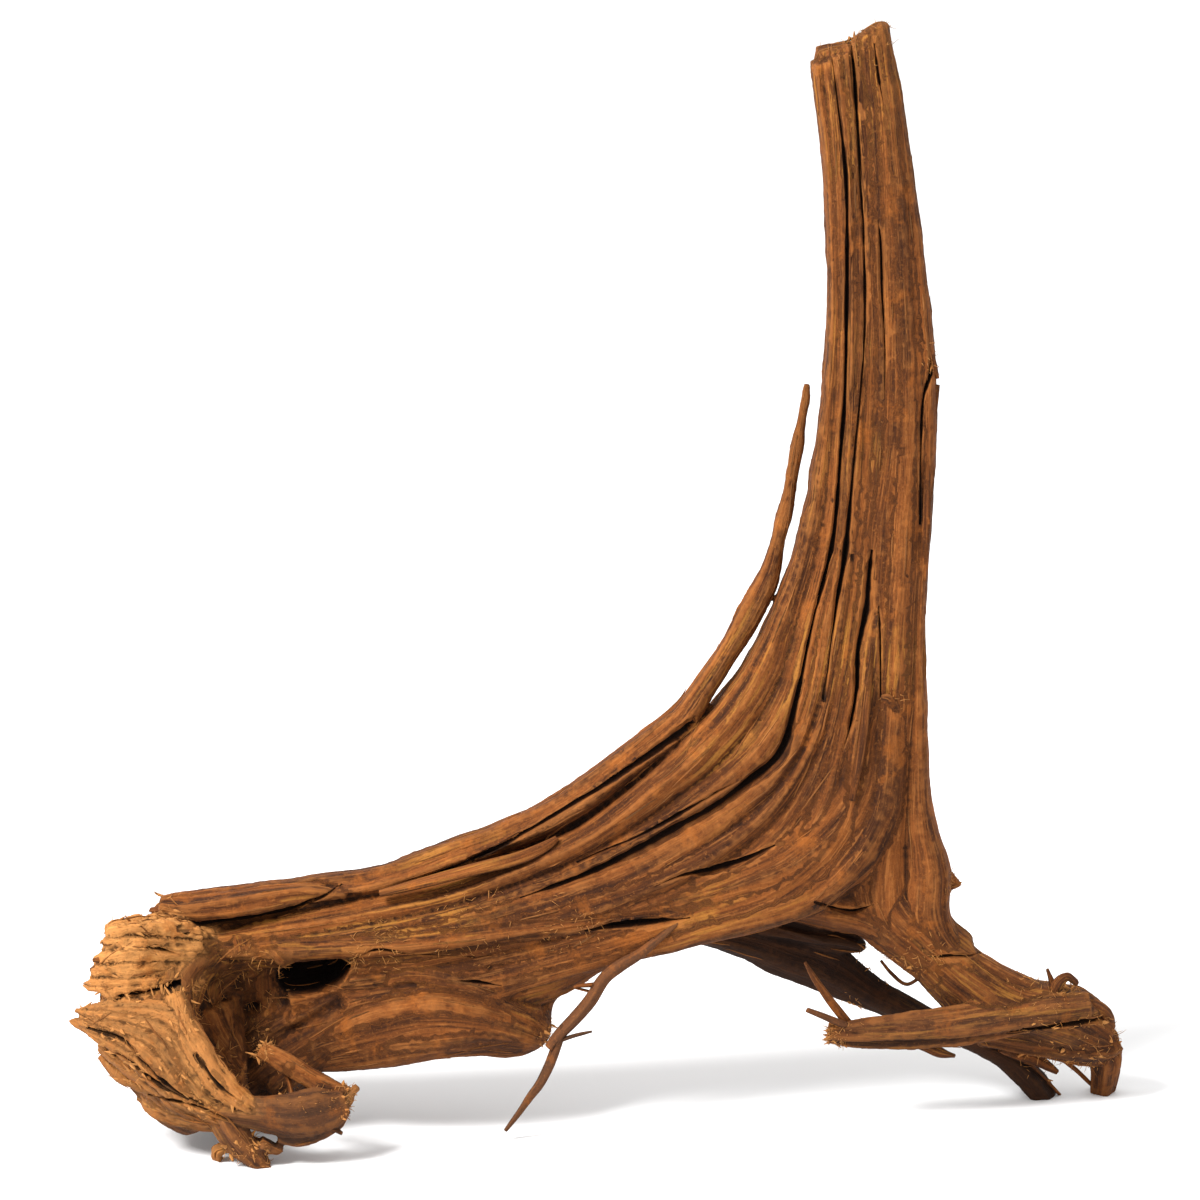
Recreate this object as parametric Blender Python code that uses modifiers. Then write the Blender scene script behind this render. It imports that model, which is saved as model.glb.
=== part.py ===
"""A piece of driftwood: an upright stem whose grain sweeps down into a long arm, a hollow burl at the
arm's far end, and a torn foot with a back leg. It is one solid, fused from ribs that follow the grain.

Real places are in millimetres. x runs to the right, y away from the front, and h is the height at which a
point shows from SIGHT above the level, with the ground under x = y = 0 at h = 0.

The rows below were read by eye off a picture of the front, so what it shows is in its pixels, (px, py),
and what it doesn't show, which is depth, is judged in millimetres. WIDTH sets the size of them all.
A seam's row is (px, py). A groove's row is (px, py, half width in pixels). The row of a limb, a hollow or a
splinter is (px, py, y, half width in pixels, half thickness in millimetres).
"""

import math
import random

import bpy
import numpy as np
from mathutils import Matrix, Vector
from mathutils.bvhtree import BVHTree

MM = 0.001
# The outline's width, from the burl's torn tips to the end of the foot, in mm and in pixels. The mm value is
# an assumption, since nothing beside the wood shows its size.
WIDTH = 354
WIDTH_PX = 1062
PIXEL = WIDTH / WIDTH_PX
# The pixel column of x = 0 and the pixel row of h = 0.
MIDDLE_PX = 600
GROUND_PX = 1120
# About the centre of the bounding box in plan, in the frame of the rows.
CENTRE = (0.7, -18.97)
SIGHT = math.radians(14)
SEED = 7
VOXEL = 1.1 * MM
BODY_TRIANGLES = 5600
# The least half width and half thickness of a splinter's tip.
FINEST = 0.37

# The left edge of the stem and the upper edge of the arm.
OUTER_SEAM = [
    (808, 74), (819, 165), (826, 300), (817, 430), (799, 530), (773, 610), (743, 668), (699, 724),
    (643, 776), (566, 832), (452, 880), (330, 906), (205, 930)
]
# The deep groove that runs the whole length of the sweep.
DEEP_SEAM = [
    (827, 70), (837, 160), (844, 310), (843, 430), (838, 530), (820, 620), (800, 715), (755, 776),
    (685, 824), (595, 870), (480, 908), (360, 934), (235, 950)
]
# The second groove, which ends above the smooth fan.
CROTCH_SEAM = [
    (844, 58), (855, 160), (861, 310), (860, 430), (854, 530), (843, 620), (826, 715), (792, 790),
    (735, 846), (660, 884), (560, 916), (430, 945), (290, 962)
]
# The line of slots that opens on to the fan.
SLOT_SEAM = [
    (863, 38), (874, 160), (880, 310), (881, 430), (868, 530), (862, 620), (850, 720), (826, 815),
    (765, 878), (660, 914), (560, 944), (450, 968), (330, 985)
]
# The lower edge of the fan and of the arm.
HEEL_SEAM = [
    (877, 32), (894, 160), (908, 310), (913, 430), (911, 530), (908, 610), (904, 710), (898, 815),
    (835, 895), (720, 932), (590, 966), (480, 1000), (360, 1030)
]
# The left edge of the foot.
SHIN_SEAM = [
    (871, 34), (889, 160), (903, 310), (908, 430), (907, 530), (904, 610), (896, 710), (882, 800),
    (864, 870), (868, 918), (906, 948), (930, 988), (972, 1026), (1050, 1052)
]
# The right edge of the stem and the top of the foot.
EDGE_SEAM = [
    (882, 34), (905, 160), (926, 310), (934, 430), (929, 530), (925, 610), (926, 720), (933, 815),
    (951, 872), (952, 916), (967, 953), (1006, 978), (1045, 995), (1090, 1014)
]
# The burl's upper side, from the arm to the torn tips: top, middle and lower edge.
CAP_SEAM = [
    (205, 927), (172, 920), (142, 918), (124, 920), (114, 924)
]
SLAB_SEAM = [
    (192, 953), (165, 955), (134, 957), (112, 961), (97, 965)
]
WEDGE_SEAM = [
    (188, 983), (160, 984), (125, 990), (103, 990), (85, 989)
]
# The burl's outer wall, from the foot of the burl to the torn tips: rim and lower edge.
RIM_SEAM = [
    (262, 1108), (232, 1086), (205, 1050), (178, 1004), (120, 997), (84, 1002)
]
FLAKE_SEAM = [
    (235, 1124), (205, 1112), (170, 1094), (138, 1064), (105, 1040), (77, 1024)
]
LIMBS = {
    "prong": [
        (805, 386, -3, 3, 1.4), (803, 402, -3, 5, 1.8), (797, 440, -3, 5.5, 2.2), (791.5, 470, -3, 6, 2.4),
        (787, 500, -3.5, 7, 2.8), (777, 540, -4, 7.5, 3.2), (769, 572, -4, 10, 3.8),
        (754, 605, -4.5, 12, 4.4), (731, 646, -5, 10, 5), (706, 684, -6, 10.5, 6), (681, 720, -7, 14, 7),
        (636, 756, -8, 16, 8), (578, 800, -9, 16, 9), (515, 833, -10, 15, 9.5), (444, 859, -12, 14, 10),
        (382, 879, -13, 13, 11), (322, 890, -14, 15, 11), (250, 902, -15, 17, 11), (188, 907, -16, 16, 9),
        (161, 907, -17, 11, 5)
    ],
    "top_board": [
        (345, 893, -22, 5, 5), (300, 893, -24, 12, 5), (240, 903, -26, 14, 6), (190, 908, -27, 12, 6),
        (160, 905, -27, 9, 4)
    ],
    "rail": [
        (815, 893, -9, 7, 5), (770, 900, -12, 10, 6), (700, 905, -17, 9, 6), (640, 913, -21, 11, 7),
        (570, 922, -24, 13, 7), (500, 930, -26, 14, 8), (430, 938, -27, 14, 9), (360, 943, -27, 14, 9),
        (290, 946, -26, 14, 9), (220, 945, -25, 12, 9)
    ],
    "short_plank": [
        (800, 880, -11, 4, 4), (760, 885, -13, 9, 5), (700, 888, -17, 9, 5), (640, 894, -20, 7, 5)
    ],
    "under_lip": [
        (780, 915, 0, 10, 7), (720, 925, -4, 14, 10), (660, 935, -8, 16, 12), (600, 950, -12, 20, 14),
        (540, 968, -14, 32, 15), (470, 975, -15, 38, 16), (400, 975, -16, 34, 16)
    ],
    "boss": [
        (545, 1042, -14, 15, 4), (525, 1032, -17, 29, 11), (480, 1018, -20, 41, 16),
        (430, 1015, -21, 47, 18), (380, 1026, -20, 45, 17), (335, 1040, -18, 34, 15),
        (300, 1052, -16, 24, 12)
    ],
    "boss_rib_a": [
        (298, 1034, -16, 5, 4), (345, 994, -22, 9, 5), (405, 974, -28, 10, 5), (470, 984, -28, 10, 5),
        (535, 1012, -21, 6, 4)
    ],
    "boss_rib_b": [
        (305, 1050, -24, 5, 4), (360, 1018, -33, 9, 4), (425, 1003, -36.5, 10, 4), (480, 1010, -34, 9, 4),
        (542, 1032, -20, 5, 3)
    ],
    "boss_rib_c": [
        (322, 1060, -23, 5, 4), (372, 1046, -32, 9, 4), (430, 1040, -35.5, 9, 4), (490, 1036, -31.5, 9, 4),
        (545, 1045, -17, 5, 3)
    ],
    "fan": [
        (874, 660, -3, 8, 8), (870, 720, -4, 20, 12), (852, 790, -5, 36, 13), (800, 845, -7, 32, 14),
        (735, 875, -10, 22, 14), (670, 895, -14, 14, 12)
    ],
    "burl_back_a": [
        (215, 925, -10, 14, 8), (160, 935, -18, 14, 8), (125, 960, -28, 14, 8), (112, 1000, -32, 14, 8),
        (118, 1040, -32, 14, 8)
    ],
    "burl_back_b": [
        (235, 950, 2, 16, 7), (190, 975, -2, 18, 8), (155, 1010, -8, 16, 8), (145, 1050, -14, 14, 8),
        (160, 1090, -20, 14, 8)
    ],
    "burl_back_c": [
        (280, 960, 4, 16, 7), (240, 1000, 4, 18, 7), (205, 1040, 0, 16, 8), (195, 1080, -8, 14, 8),
        (210, 1110, -16, 12, 8)
    ],
    "boss_spur": [
        (598, 962, -8, 10, 7), (568, 978, -10, 11, 8), (545, 1000, -12, 10, 6), (538, 1030, -13, 12, 5)
    ],
    "crotch_web": [
        (770, 905, 2, 10, 9), (820, 905, 2, 24, 13), (868, 914, 2, 24, 13), (908, 940, 2, 20, 12),
        (940, 975, 2, 20, 11)
    ],
    "ankle": [
        (880, 800, 2, 18, 13), (880, 850, 2, 34, 14), (885, 900, 2, 40, 14), (926, 945, 2, 36, 13),
        (962, 968, 3, 33, 12)
    ],
    "back_leg": [
        (640, 925, 2, 16, 9), (700, 932, 4, 16, 9), (745, 942, 6, 21, 8), (790, 958, 8, 25, 7),
        (835, 976, 10, 25, 6.5), (878, 1001, 12, 18, 6.5), (944, 1032, 14, 13, 7), (1008, 1063, 16, 14, 8),
        (1034, 1085, 17, 15, 8), (1051, 1104, 19, 14, 8), (1060, 1117, 20, 11, 6)
    ],
    "under_web": [
        (700, 918, 5, 12, 8), (760, 925, 6, 14, 8), (815, 938, 6, 14, 8), (850, 945, 7, 12, 6),
        (868, 952, 8, 6, 4)
    ],
    "bowl_floor": [
        (225, 1035, -12, 24, 8), (245, 1070, -15, 26, 9), (262, 1095, -20, 20, 10)
    ],
    "bowl_ridge_a": [
        (354, 980, -25, 5, 5), (332, 996, -23, 8, 6), (306, 1010, -21, 11, 7), (281, 1023, -19, 13, 7),
        (258, 1038, -18, 13, 7), (238, 1055, -19, 11, 7)
    ],
    "bowl_ridge_b": [
        (342, 1014, -28, 7, 6), (316, 1031, -24, 12, 7), (291, 1047, -22, 14, 7), (268, 1063, -21, 14, 7),
        (248, 1082, -22, 12, 7)
    ],
    "bowl_ridge_c": [
        (336, 1043, -27, 8, 6), (312, 1060, -25, 13, 7), (290, 1077, -24, 14, 7), (270, 1094, -24, 12, 7)
    ],
    "foot_top": [
        (920, 934, 2, 30, 12), (966, 978, 2, 29, 12), (1016, 1007, 3, 27, 12), (1058, 1019, 5, 30, 12),
        (1084, 1027, 8, 31, 11), (1114, 1043, 11, 22, 8)
    ],
    "foot_sole": [
        (985, 1040, 4, 12, 6), (1030, 1048, 6, 14, 8), (1070, 1050, 9, 20, 9), (1105, 1052, 12, 22, 9),
        (1121, 1050, 15, 13, 7)
    ],
    "foot_tip": [
        (1099, 1030, 9, 20, 7), (1115, 1060, 14, 18, 7), (1117, 1084, 19, 14, 6), (1114, 1110, 23, 12, 5)
    ],
    "plank": [
        (830, 1036, -16, 10, 3), (860, 1037, -15, 15, 3.6), (890, 1035, -14, 18, 4),
        (930, 1033, -12, 19, 4.2), (975, 1028, -9, 20, 4.5), (1020, 1021, -5, 19, 5),
        (1060, 1015, -2, 17, 5.5), (1095, 1012, 2, 15, 5)
    ],
    "heel_spur": [
        (936, 872, 6, 9, 6), (952, 884, 6, 11, 4), (961, 886, 6, 7, 3), (964, 884, 6, 3, 2)
    ],
    "bowl": [
        (225, 930, -14, 20, 8), (195, 960, -22, 52, 17), (180, 1000, -30, 70, 26), (182, 1045, -34, 66, 28),
        (200, 1085, -36, 52, 25), (220, 1115, -38, 34, 20)
    ],
    "bowl_back": [
        (260, 945, -12, 30, 14), (260, 990, -10, 42, 13), (275, 1030, -12, 40, 12),
        (290, 1060, -14, 30, 12), (270, 1085, -10, 30, 12), (245, 1110, -2, 20, 9)
    ],
    "cap": [
        (200, 932, -28, 10, 6), (170, 928, -35, 13, 6), (135, 926, -40, 11, 5), (116, 926, -42, 8, 4),
        (109, 933, -43, 4, 3)
    ],
    "rim": [
        (178, 990, -54, 10, 4), (188, 1020, -58, 12, 4), (205, 1050, -60, 14, 4), (225, 1080, -61, 14, 4),
        (250, 1100, -61, 10, 4)
    ],
    "flake_a": [
        (73, 1018, -40, 4, 1.8), (95, 1028, -46, 7, 2.5), (130, 1042, -54, 9, 3), (155, 1066, -59, 10, 3),
        (185, 1092, -61, 9, 3), (215, 1108, -61, 7, 3)
    ],
    "flake_b": [
        (103, 1042, -42, 8, 3), (130, 1060, -50, 12, 3.5), (160, 1082, -56, 11, 3.5), (200, 1104, -59, 9, 3)
    ],
    "flake_c": [
        (102, 1056, -38, 3, 1.8), (120, 1072, -43, 6, 2.5), (148, 1086, -49, 9, 3),
        (180, 1102, -54, 11, 3.5)
    ],
    "belly": [
        (143, 1096, -40, 8, 4), (163, 1105, -46, 12, 6), (195, 1114, -51, 13, 7), (225, 1120, -54, 10, 6)
    ],
    "lobe": [
        (225, 1105, -58, 12, 5), (260, 1108, -60, 17, 5), (295, 1112, -60, 24, 5), (325, 1108, -58, 24, 4),
        (347, 1100, -56, 14, 3)
    ],
    "lobe_edge": [
        (280, 1130, -58, 10, 4), (300, 1131, -58, 11, 4), (325, 1125, -57, 9, 4), (341, 1118, -56, 5, 3)
    ],
    "rod": [
        (262, 1046, -48, 9, 3), (290, 1062, -50, 10, 3.4), (320, 1080, -52, 10, 3.4), (345, 1092, -54, 9, 3)
    ],
    "lobe_corner": [
        (330, 1100, -54, 11, 3), (344, 1097, -54, 9, 3), (352, 1090, -54, 5, 2.2), (358, 1083, -54, 2, 1.3)
    ],
    "strap": [
        (225, 1110, -57, 16, 6), (240, 1135, -58, 16, 6), (255, 1152, -58, 13, 5), (270, 1166, -57, 6, 4)
    ],
    "knuckle": [
        (246, 1142, -56, 6, 3.5), (230, 1145, -55, 5, 3.5), (220, 1148, -55, 7, 3.5),
        (217, 1155, -54, 7, 3.5), (224, 1161, -54, 5, 3)
    ],
    "strap_spur": [
        (262, 1140, -58, 7, 4), (278, 1146, -57, 5, 3), (284, 1143, -57, 3, 2)
    ],
}
HOLLOWS = {
    "cavity": [
        (236, 930, -44, 18, 16), (242, 960, -50, 46, 32), (248, 1005, -56, 58, 40),
        (254, 1045, -56, 48, 36), (262, 1080, -54, 26, 24)
    ],
    "knot": [
        (277, 988, -30, 7, 20), (290, 984, -30, 16, 24), (312, 977, -30, 21, 26), (334, 970, -30, 16, 26),
        (350, 962, -30, 5, 18)
    ],
}
GROOVES = {
    "long": [
        (826, 62, 0), (832, 110, 2), (841, 180, 4), (843, 250, 4.5), (843, 320, 4.5), (842, 400, 4.5),
        (838, 460, 5), (834, 520, 5.5), (828, 560, 6), (816, 605, 4), (806, 650, 4), (796, 700, 6),
        (780, 752, 9), (750, 780, 9), (715, 806, 8), (680, 826, 8), (640, 848, 8), (600, 868, 7),
        (560, 884, 4), (520, 897, 0)
    ],
    "inner": [
        (843, 44, 2), (848, 80, 5), (852, 130, 3), (857, 200, 2), (860, 260, 2.5), (861, 330, 2),
        (857, 400, 2), (850, 480, 2.5), (844, 550, 6), (836, 600, 5), (828, 660, 2), (822, 700, 0)
    ],
    "slot": [
        (873, 226, 0), (876, 250, 4), (878, 300, 3), (881, 350, 3), (881, 402, 0)
    ],
    "deep_slot": [
        (870, 550, 2), (867, 580, 8), (865, 610, 8), (857, 650, 7), (856, 690, 5), (850, 725, 4),
        (842, 752, 0)
    ],
    "thin_slot": [
        (877, 606, 0), (879, 640, 3), (880, 697, 1.5)
    ],
    "shoulder": [
        (696, 720, 6), (680, 734, 12), (650, 755, 9), (610, 782, 6), (570, 806, 6), (530, 830, 5),
        (490, 852, 4), (440, 873, 3), (380, 892, 0)
    ],
    "middle": [
        (742, 779, 0), (720, 790, 3), (690, 808, 4), (660, 825, 4), (630, 840, 3), (602, 851, 2.5),
        (577, 862, 0)
    ],
    "low": [
        (775, 845, 0), (745, 860, 6), (710, 870, 6), (680, 876, 4), (655, 886, 0)
    ],
    "rail": [
        (690, 918, 0), (660, 922, 6), (620, 926, 6), (585, 931, 0)
    ],
    "board": [
        (342, 884, 0), (320, 898, 4), (285, 910, 6), (250, 917, 5), (210, 922, 3), (180, 925, 2)
    ],
    "knot_crack": [
        (345, 963, 4), (362, 954, 2.5), (380, 949, 3), (410, 953, 2), (475, 957, 0)
    ],
    "ledge": [
        (815, 903, 0), (835, 910, 4), (855, 913, 5), (876, 906, 0)
    ],
    "right": [
        (924, 352, 0), (927, 375, 5), (920, 400, 3), (918, 440, 2.5), (918, 525, 0)
    ],
    "crown": [
        (868, 56, 0), (872, 85, 2.5), (878, 116, 0)
    ],
    "sole": [
        (1012, 1037, 0), (1050, 1033, 3), (1090, 1028, 4), (1112, 1024, 4)
    ],
    "ankle": [
        (935, 960, 0), (950, 959, 3), (972, 959, 2), (985, 956, 0)
    ],
    "wedge": [
        (118, 995, 2), (135, 991, 4), (160, 986, 6), (186, 980, 8)
    ],
    "notch": [
        (452, 980, 0), (475, 982, 4), (502, 986, 0)
    ],
    "flake_gap": [
        (90, 1024, 1.5), (128, 1036, 3), (150, 1060, 3.5), (175, 1083, 3), (208, 1101, 1)
    ],
    "lower_gap": [
        (108, 1046, 2), (128, 1053, 4), (160, 1078, 4), (192, 1095, 1)
    ],
    "belly_gap": [
        (150, 1092, 1), (190, 1099, 4), (230, 1113, 2)
    ],
    "rim_gap": [
        (200, 1050, 1), (222, 1080, 4), (248, 1098, 1)
    ],
    "cap_gap": [
        (148, 944, 1), (165, 948, 3.5), (184, 952, 3)
    ],
}
SPLINTERS = {
    "hanging": [
        (712, 905, -12, 2, 1), (697, 912, -19, 3, 1), (680, 921, -24, 3.5, 1.2), (660, 938, -27, 4, 1.4),
        (640, 954, -29, 5, 1.5), (620, 966, -30, 6, 1.5), (604, 979, -31, 6, 1.5),
        (590, 1001, -32, 6.5, 1.5), (575, 1019, -32, 6.5, 1.5), (560, 1035, -32, 6, 1.5),
        (549, 1049, -32, 5, 1.4)
    ],
    "elbow": [
        (562, 1032, -32, 4, 1.2), (555, 1052, -32, 5, 1.3), (549, 1068, -32, 5, 1.3),
        (540, 1085, -32, 4.5, 1.2), (530, 1098, -32, 4, 1.1), (519, 1114, -32, 3, 1),
        (505, 1133, -32, 1.8, 0.8)
    ],
    "barb": [
        (556, 1043, -32, 2.5, 0.9), (575, 1036, -32, 2, 0.8), (592, 1032, -32, 1.2, 0.6)
    ],
    "nib": [
        (598, 984, -31, 2.5, 0.9), (575, 987, -31, 1.5, 0.7), (590, 992, -30, 1.2, 0.6)
    ],
    "steep_splinter": [
        (806, 964, -20, 1.5, 0.8), (815, 979, -19, 3, 1), (830, 1001, -17, 4, 1.3),
        (845, 1021, -15, 4.5, 1.4), (858, 1036, -12, 4, 1.4)
    ],
    "flat_splinter": [
        (808, 1012, -22, 2.5, 0.8), (825, 1019, -20, 3.2, 1), (845, 1028, -17, 4, 1.3),
        (862, 1035, -13, 4, 1.4)
    ],
    "low_spike": [
        (895, 1038, -12, 6, 2), (925, 1049, -11, 6, 2), (943, 1057, -10, 5, 1.5), (959, 1061, -9, 2, 0.8)
    ],
    "window_twig": [
        (885, 966, 6, 1.6, 0.7), (896, 979, 6, 1.8, 0.8), (911, 990, 5, 1.8, 0.8), (926, 982, 3, 2, 1)
    ],
    "sole_spike": [
        (1010, 1052, 8, 10, 3), (1035, 1064, 10, 9, 2.5), (1052, 1073, 12, 6, 2), (1067, 1082, 14, 2.5, 1)
    ],
    "sole_twig": [
        (1020, 1060, 10, 3, 1), (1046, 1081, 14, 2.2, 0.9), (1071, 1107, 18, 1.6, 0.7)
    ],
    "toe_twig": [
        (1070, 1066, 14, 3, 1), (1086, 1080, 17, 2.4, 0.9), (1103, 1096, 20, 2, 0.8)
    ],
    "tail_thorn": [
        (1062, 1002, 2, 4, 1.5), (1058, 987, 1, 3, 1.2), (1053, 974, 0, 1.6, 0.8)
    ],
    "tail_curl": [
        (1058, 1004, 0, 5, 2), (1064, 988, -1, 5, 2), (1073, 981, -1, 4.5, 1.8), (1083, 988, 0, 3, 1.4)
    ],
    "tail_lip": [
        (1085, 1014, 2, 9, 2.5), (1100, 1013, 3, 8, 2.4), (1114, 1020, 5, 6, 2), (1121, 1032, 8, 3, 1.5)
    ],
    "board_nib": [
        (175, 904, -20, 6, 3), (158, 910, -19, 4, 2), (149, 911, -18, 2, 1.2)
    ],
    "slab_nib": [
        (122, 950, -48, 5, 1.6), (107, 956, -50, 3, 1.2), (97, 957, -50, 1.6, 0.8)
    ],
    "lobe_thorn": [
        (325, 1104, -58, 6, 2), (343, 1108, -58, 3.5, 1.4), (352, 1109, -58, 1.6, 0.8)
    ],
    "lobe_fang": [
        (318, 1120, -59, 5, 2), (336, 1126, -59, 3, 1.4), (344, 1130, -59, 1.5, 0.8)
    ],
    "brace": [
        (283, 1060, -50, 2.5, 1), (290, 1078, -50, 2.5, 1), (296, 1098, -56, 3, 1)
    ],
    "sub_rib": [
        (557, 838, -21, 3, 2), (545, 846, -22, 5, 2.5), (520, 857, -24, 6, 3), (480, 868, -26, 6, 3),
        (430, 881, -28, 5, 3), (380, 893, -29, 3, 2)
    ],
    "slot_point": [
        (873, 600, -12, 1.6, 1.2), (872, 630, -13, 3, 2), (868, 680, -14, 4.5, 3), (862, 740, -16, 5, 3),
        (852, 800, -18, 4, 2)
    ],
    "stem_tear": [
        (897, 712, -14, 4, 1), (892, 704, -16, 5, 1.4), (886, 698, -17, 5, 1.4), (880, 697, -17, 2, 1)
    ],
    "edge_strand": [
        (930, 386, -4, 6, 3), (927, 420, -6, 6, 3), (925, 470, -8, 5.5, 3), (924, 520, -9, 5, 3),
        (922, 580, -9, 3, 2)
    ],
    "step_flake": [
        (917, 344, -10, 4, 1.6), (924, 354, -9, 4, 1.6), (930, 368, -8, 3, 1.4), (934, 380, -7, 2, 1)
    ],
}

# Front and back of the sweep at the stations of its seams, as y, and the half thickness of its ribs.
SWEEP_FRONT = [-11, -12, -13, -13, -14, -15, -16, -18, -21, -25, -29, -31, -32]
SWEEP_BACK = [10, 12, 13, 13, 13, 14, 15, 17, 17, 14, 10, 6, 2]
SWEEP_THICK = [6, 6, 6.5, 6.5, 7, 8, 9, 11, 12, 12, 12, 12, 11]
FOOT_FRONT = [-9, -10, -11, -11, -11, -12, -12, -13, -13, -11, -8, -6, -4, -1]
FOOT_BACK = [8, 10, 12, 12, 12, 13, 14, 15, 16, 16, 16, 16, 17, 18]
FOOT_THICK = [5, 5, 6, 7, 7, 7, 8, 9, 9, 9, 8, 7, 7, 6]
SLAB_FRONT = [-40, -48, -54, -52, -46]
SLAB_THICK = [5, 5, 4, 3.5, 2]
WALL_FRONT = [-60, -62, -62, -60, -56, -47]
WALL_THICK = [4, 4.5, 4.5, 4, 3.5, 2]
# Broken edges that bristle, as (start, stop, direction of the fibres, their length, how many), all (x, y, h).
TORN_EDGES = {
    "rim_fibre": ((-141, -57, 38), (-118, -60, 8), (0.7, 0.3, 0.6), 3.5, 8),
    "crown_fibre": ((71, -2, 351), (92, -2, 364), (-0.1, 0, 1), 2.5, 6),
    "tail_fibre": ((170, 8, 33), (172, 14, 20), (1, 0.2, -0.1), 4, 5),
    "plank_fibre": ((78, -16, 30), (78, -16, 25.5), (-1, 0, -0.2), 3, 3),
    "boss_fibre": ((-17, -14, 32), (-17, -14, 25), (1, 0, -0.1), 3, 3),
    "lobe_fibre": ((-86, -55, 9), (-86, -55, 1), (1, 0, 0), 3, 4),
    "board_fibre": ((-145, -20, 74), (-146, -20, 70), (-1, 0, -0.1), 2.5, 3),
    "toe_fibre": ((168, 20, 8), (171, 20, 8), (0.1, 0, -1), 1.5, 2),
}


def seen(px, py):
    """x and h of a pixel."""
    return (px - MIDDLE_PX) * PIXEL, (GROUND_PX - py) * PIXEL


def seam_rows(rows):
    """A seam's rows in mm, as an array of (x, h)."""
    return np.array([seen(px, py) for px, py in rows])


def limb_rows(rows):
    """A limb's rows in mm, as (x, y, h, half width, half thickness)."""
    placed = []
    for px, py, y, half_px, half_thick in rows:
        x, h = seen(px, py)
        placed.append((x, y, h, half_px * PIXEL, half_thick))
    return placed


def groove_rows(rows):
    """A groove's rows in mm, as (x, h, half width)."""
    return [(*seen(px, py), half_px * PIXEL) for px, py, half_px in rows]


def real(x, y, h):
    """The point, in metres, that shows at (x, h) from SIGHT above the level."""
    return Vector((x - CENTRE[0], y - CENTRE[1], (h - y * math.sin(SIGHT)) / math.cos(SIGHT))) * MM


def smooth(rows, count):
    """count rows along the Catmull-Rom curve through these rows, all columns alike."""
    knots = np.array(rows, float)
    knots = np.vstack([2 * knots[0] - knots[1], knots, 2 * knots[-1] - knots[-2]])
    at = np.linspace(0, len(rows) - 1, count)
    i = np.minimum(at.astype(int), len(rows) - 2)
    t = (at - i)[:, None]
    a, b, c, d = (knots[i + k] for k in range(4))
    return 0.5 * (2 * b + (c - a) * t + (2 * a - 5 * b + 4 * c - d) * t**2 + (3 * b - a - 3 * c + d) * t**3)


def loft(name, rings):
    """A closed mesh object through rings of points, all of one length."""
    sides = len(rings[0])
    faces = []
    for i in range(len(rings) - 1):
        for j in range(sides):
            k = (j + 1) % sides
            faces.append((i * sides + j, (i + 1) * sides + j, (i + 1) * sides + k, i * sides + k))
    faces.append(tuple(range(sides)))
    faces.append(tuple((len(rings) - 1) * sides + j for j in range(sides))[::-1])
    mesh = bpy.data.meshes.new(name)
    mesh.from_pydata([point for ring in rings for point in ring], [], faces)
    obj = bpy.data.objects.new(name, mesh)
    bpy.context.scene.collection.objects.link(obj)
    return obj


def section(centres, i):
    """The directions across and out of a limb at ring i, of which the second one faces the front."""
    along = (centres[min(i + 1, len(centres) - 1)] - centres[max(i - 1, 0)]).normalized()
    across = along.cross(Vector((0, -1, 0))).normalized()
    return across, across.cross(along)


def limb(name, rows, rng, rings=48, sides=20, flutes=5, flute_depth=0.07):
    """A closed limb along its rows, with shallow flutes that drift round it as it runs."""
    line = smooth(rows, rings)
    line[:, 3:] = np.maximum(line[:, 3:], FINEST)
    centres = [real(*row[:3]) for row in line]
    phase = [rng.uniform(0, 2 * math.pi) for _ in range(4)]
    loops = []
    for i, (_, _, _, half_width, half_thick) in enumerate(line):
        across, out = section(centres, i)
        run = i / (rings - 1)
        loop = []
        for j in range(sides):
            turn = 2 * math.pi * j / sides
            swell = 1 + flute_depth * (
                math.sin(flutes * turn + phase[0] + 2.4 * math.sin(3 * run + phase[1]))
                + 0.6 * math.sin((flutes + 2) * turn + phase[2] + 3 * run)
                + 0.5 * math.sin(7 * run + phase[3])
            )
            loop.append(
                centres[i]
                + across * half_width * MM * swell * math.cos(turn)
                + out * half_thick * MM * swell * math.sin(turn)
            )
        loops.append(loop)
    return loft(name, loops)


def ribs(name, seam_a, seam_b, count, face, thick, proud, rng, rough=0.8, ragged=0.1):
    """count ribs side by side between two seams.

    face is the y of the surface that they lie in, and thick their half thickness, which is negative for ribs
    of the back. proud lifts them out of that surface, and rough is how much they differ in that. ragged is
    the share of the last stretch by which their ends differ.
    """
    start = seam_rows(seam_a)
    step = (seam_rows(seam_b) - start) / count
    made = []
    for k in range(count):
        left = start + step * k
        right = left + step
        middle = (left + right) / 2
        half = np.linalg.norm(right - left, axis=1) * 0.54 + 0.3
        lift = proud + rng.uniform(-rough, rough)
        rows = []
        for (x, h), y, half_thick, half_width in zip(middle, face, thick, half):
            depth = y + half_thick - math.copysign(lift, half_thick)
            rows.append((x, depth, h, half_width, abs(half_thick)))
        rows[-1] = tuple(np.array(rows[-1]) + (np.array(rows[-1]) - rows[-2]) * rng.uniform(-ragged, ragged))
        made.append(limb(f"{name}_{k}", rows, rng, rings=90, sides=24, flutes=7, flute_depth=0.05))
    return made


def core(name, seam_a, seam_b, front, back, rng):
    """The solid heart between two seams, a little inside the ribs on every side."""
    rows = []
    for a, b, near, far in zip(seam_rows(seam_a), seam_rows(seam_b), front, back):
        rows.append((
            (a[0] + b[0]) / 2, (near + far) / 2, (a[1] + b[1]) / 2, math.dist(a, b) * 0.4, (far - near) * 0.39
        ))
    return limb(name, rows, rng, rings=90, sides=28, flute_depth=0.02)


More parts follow.
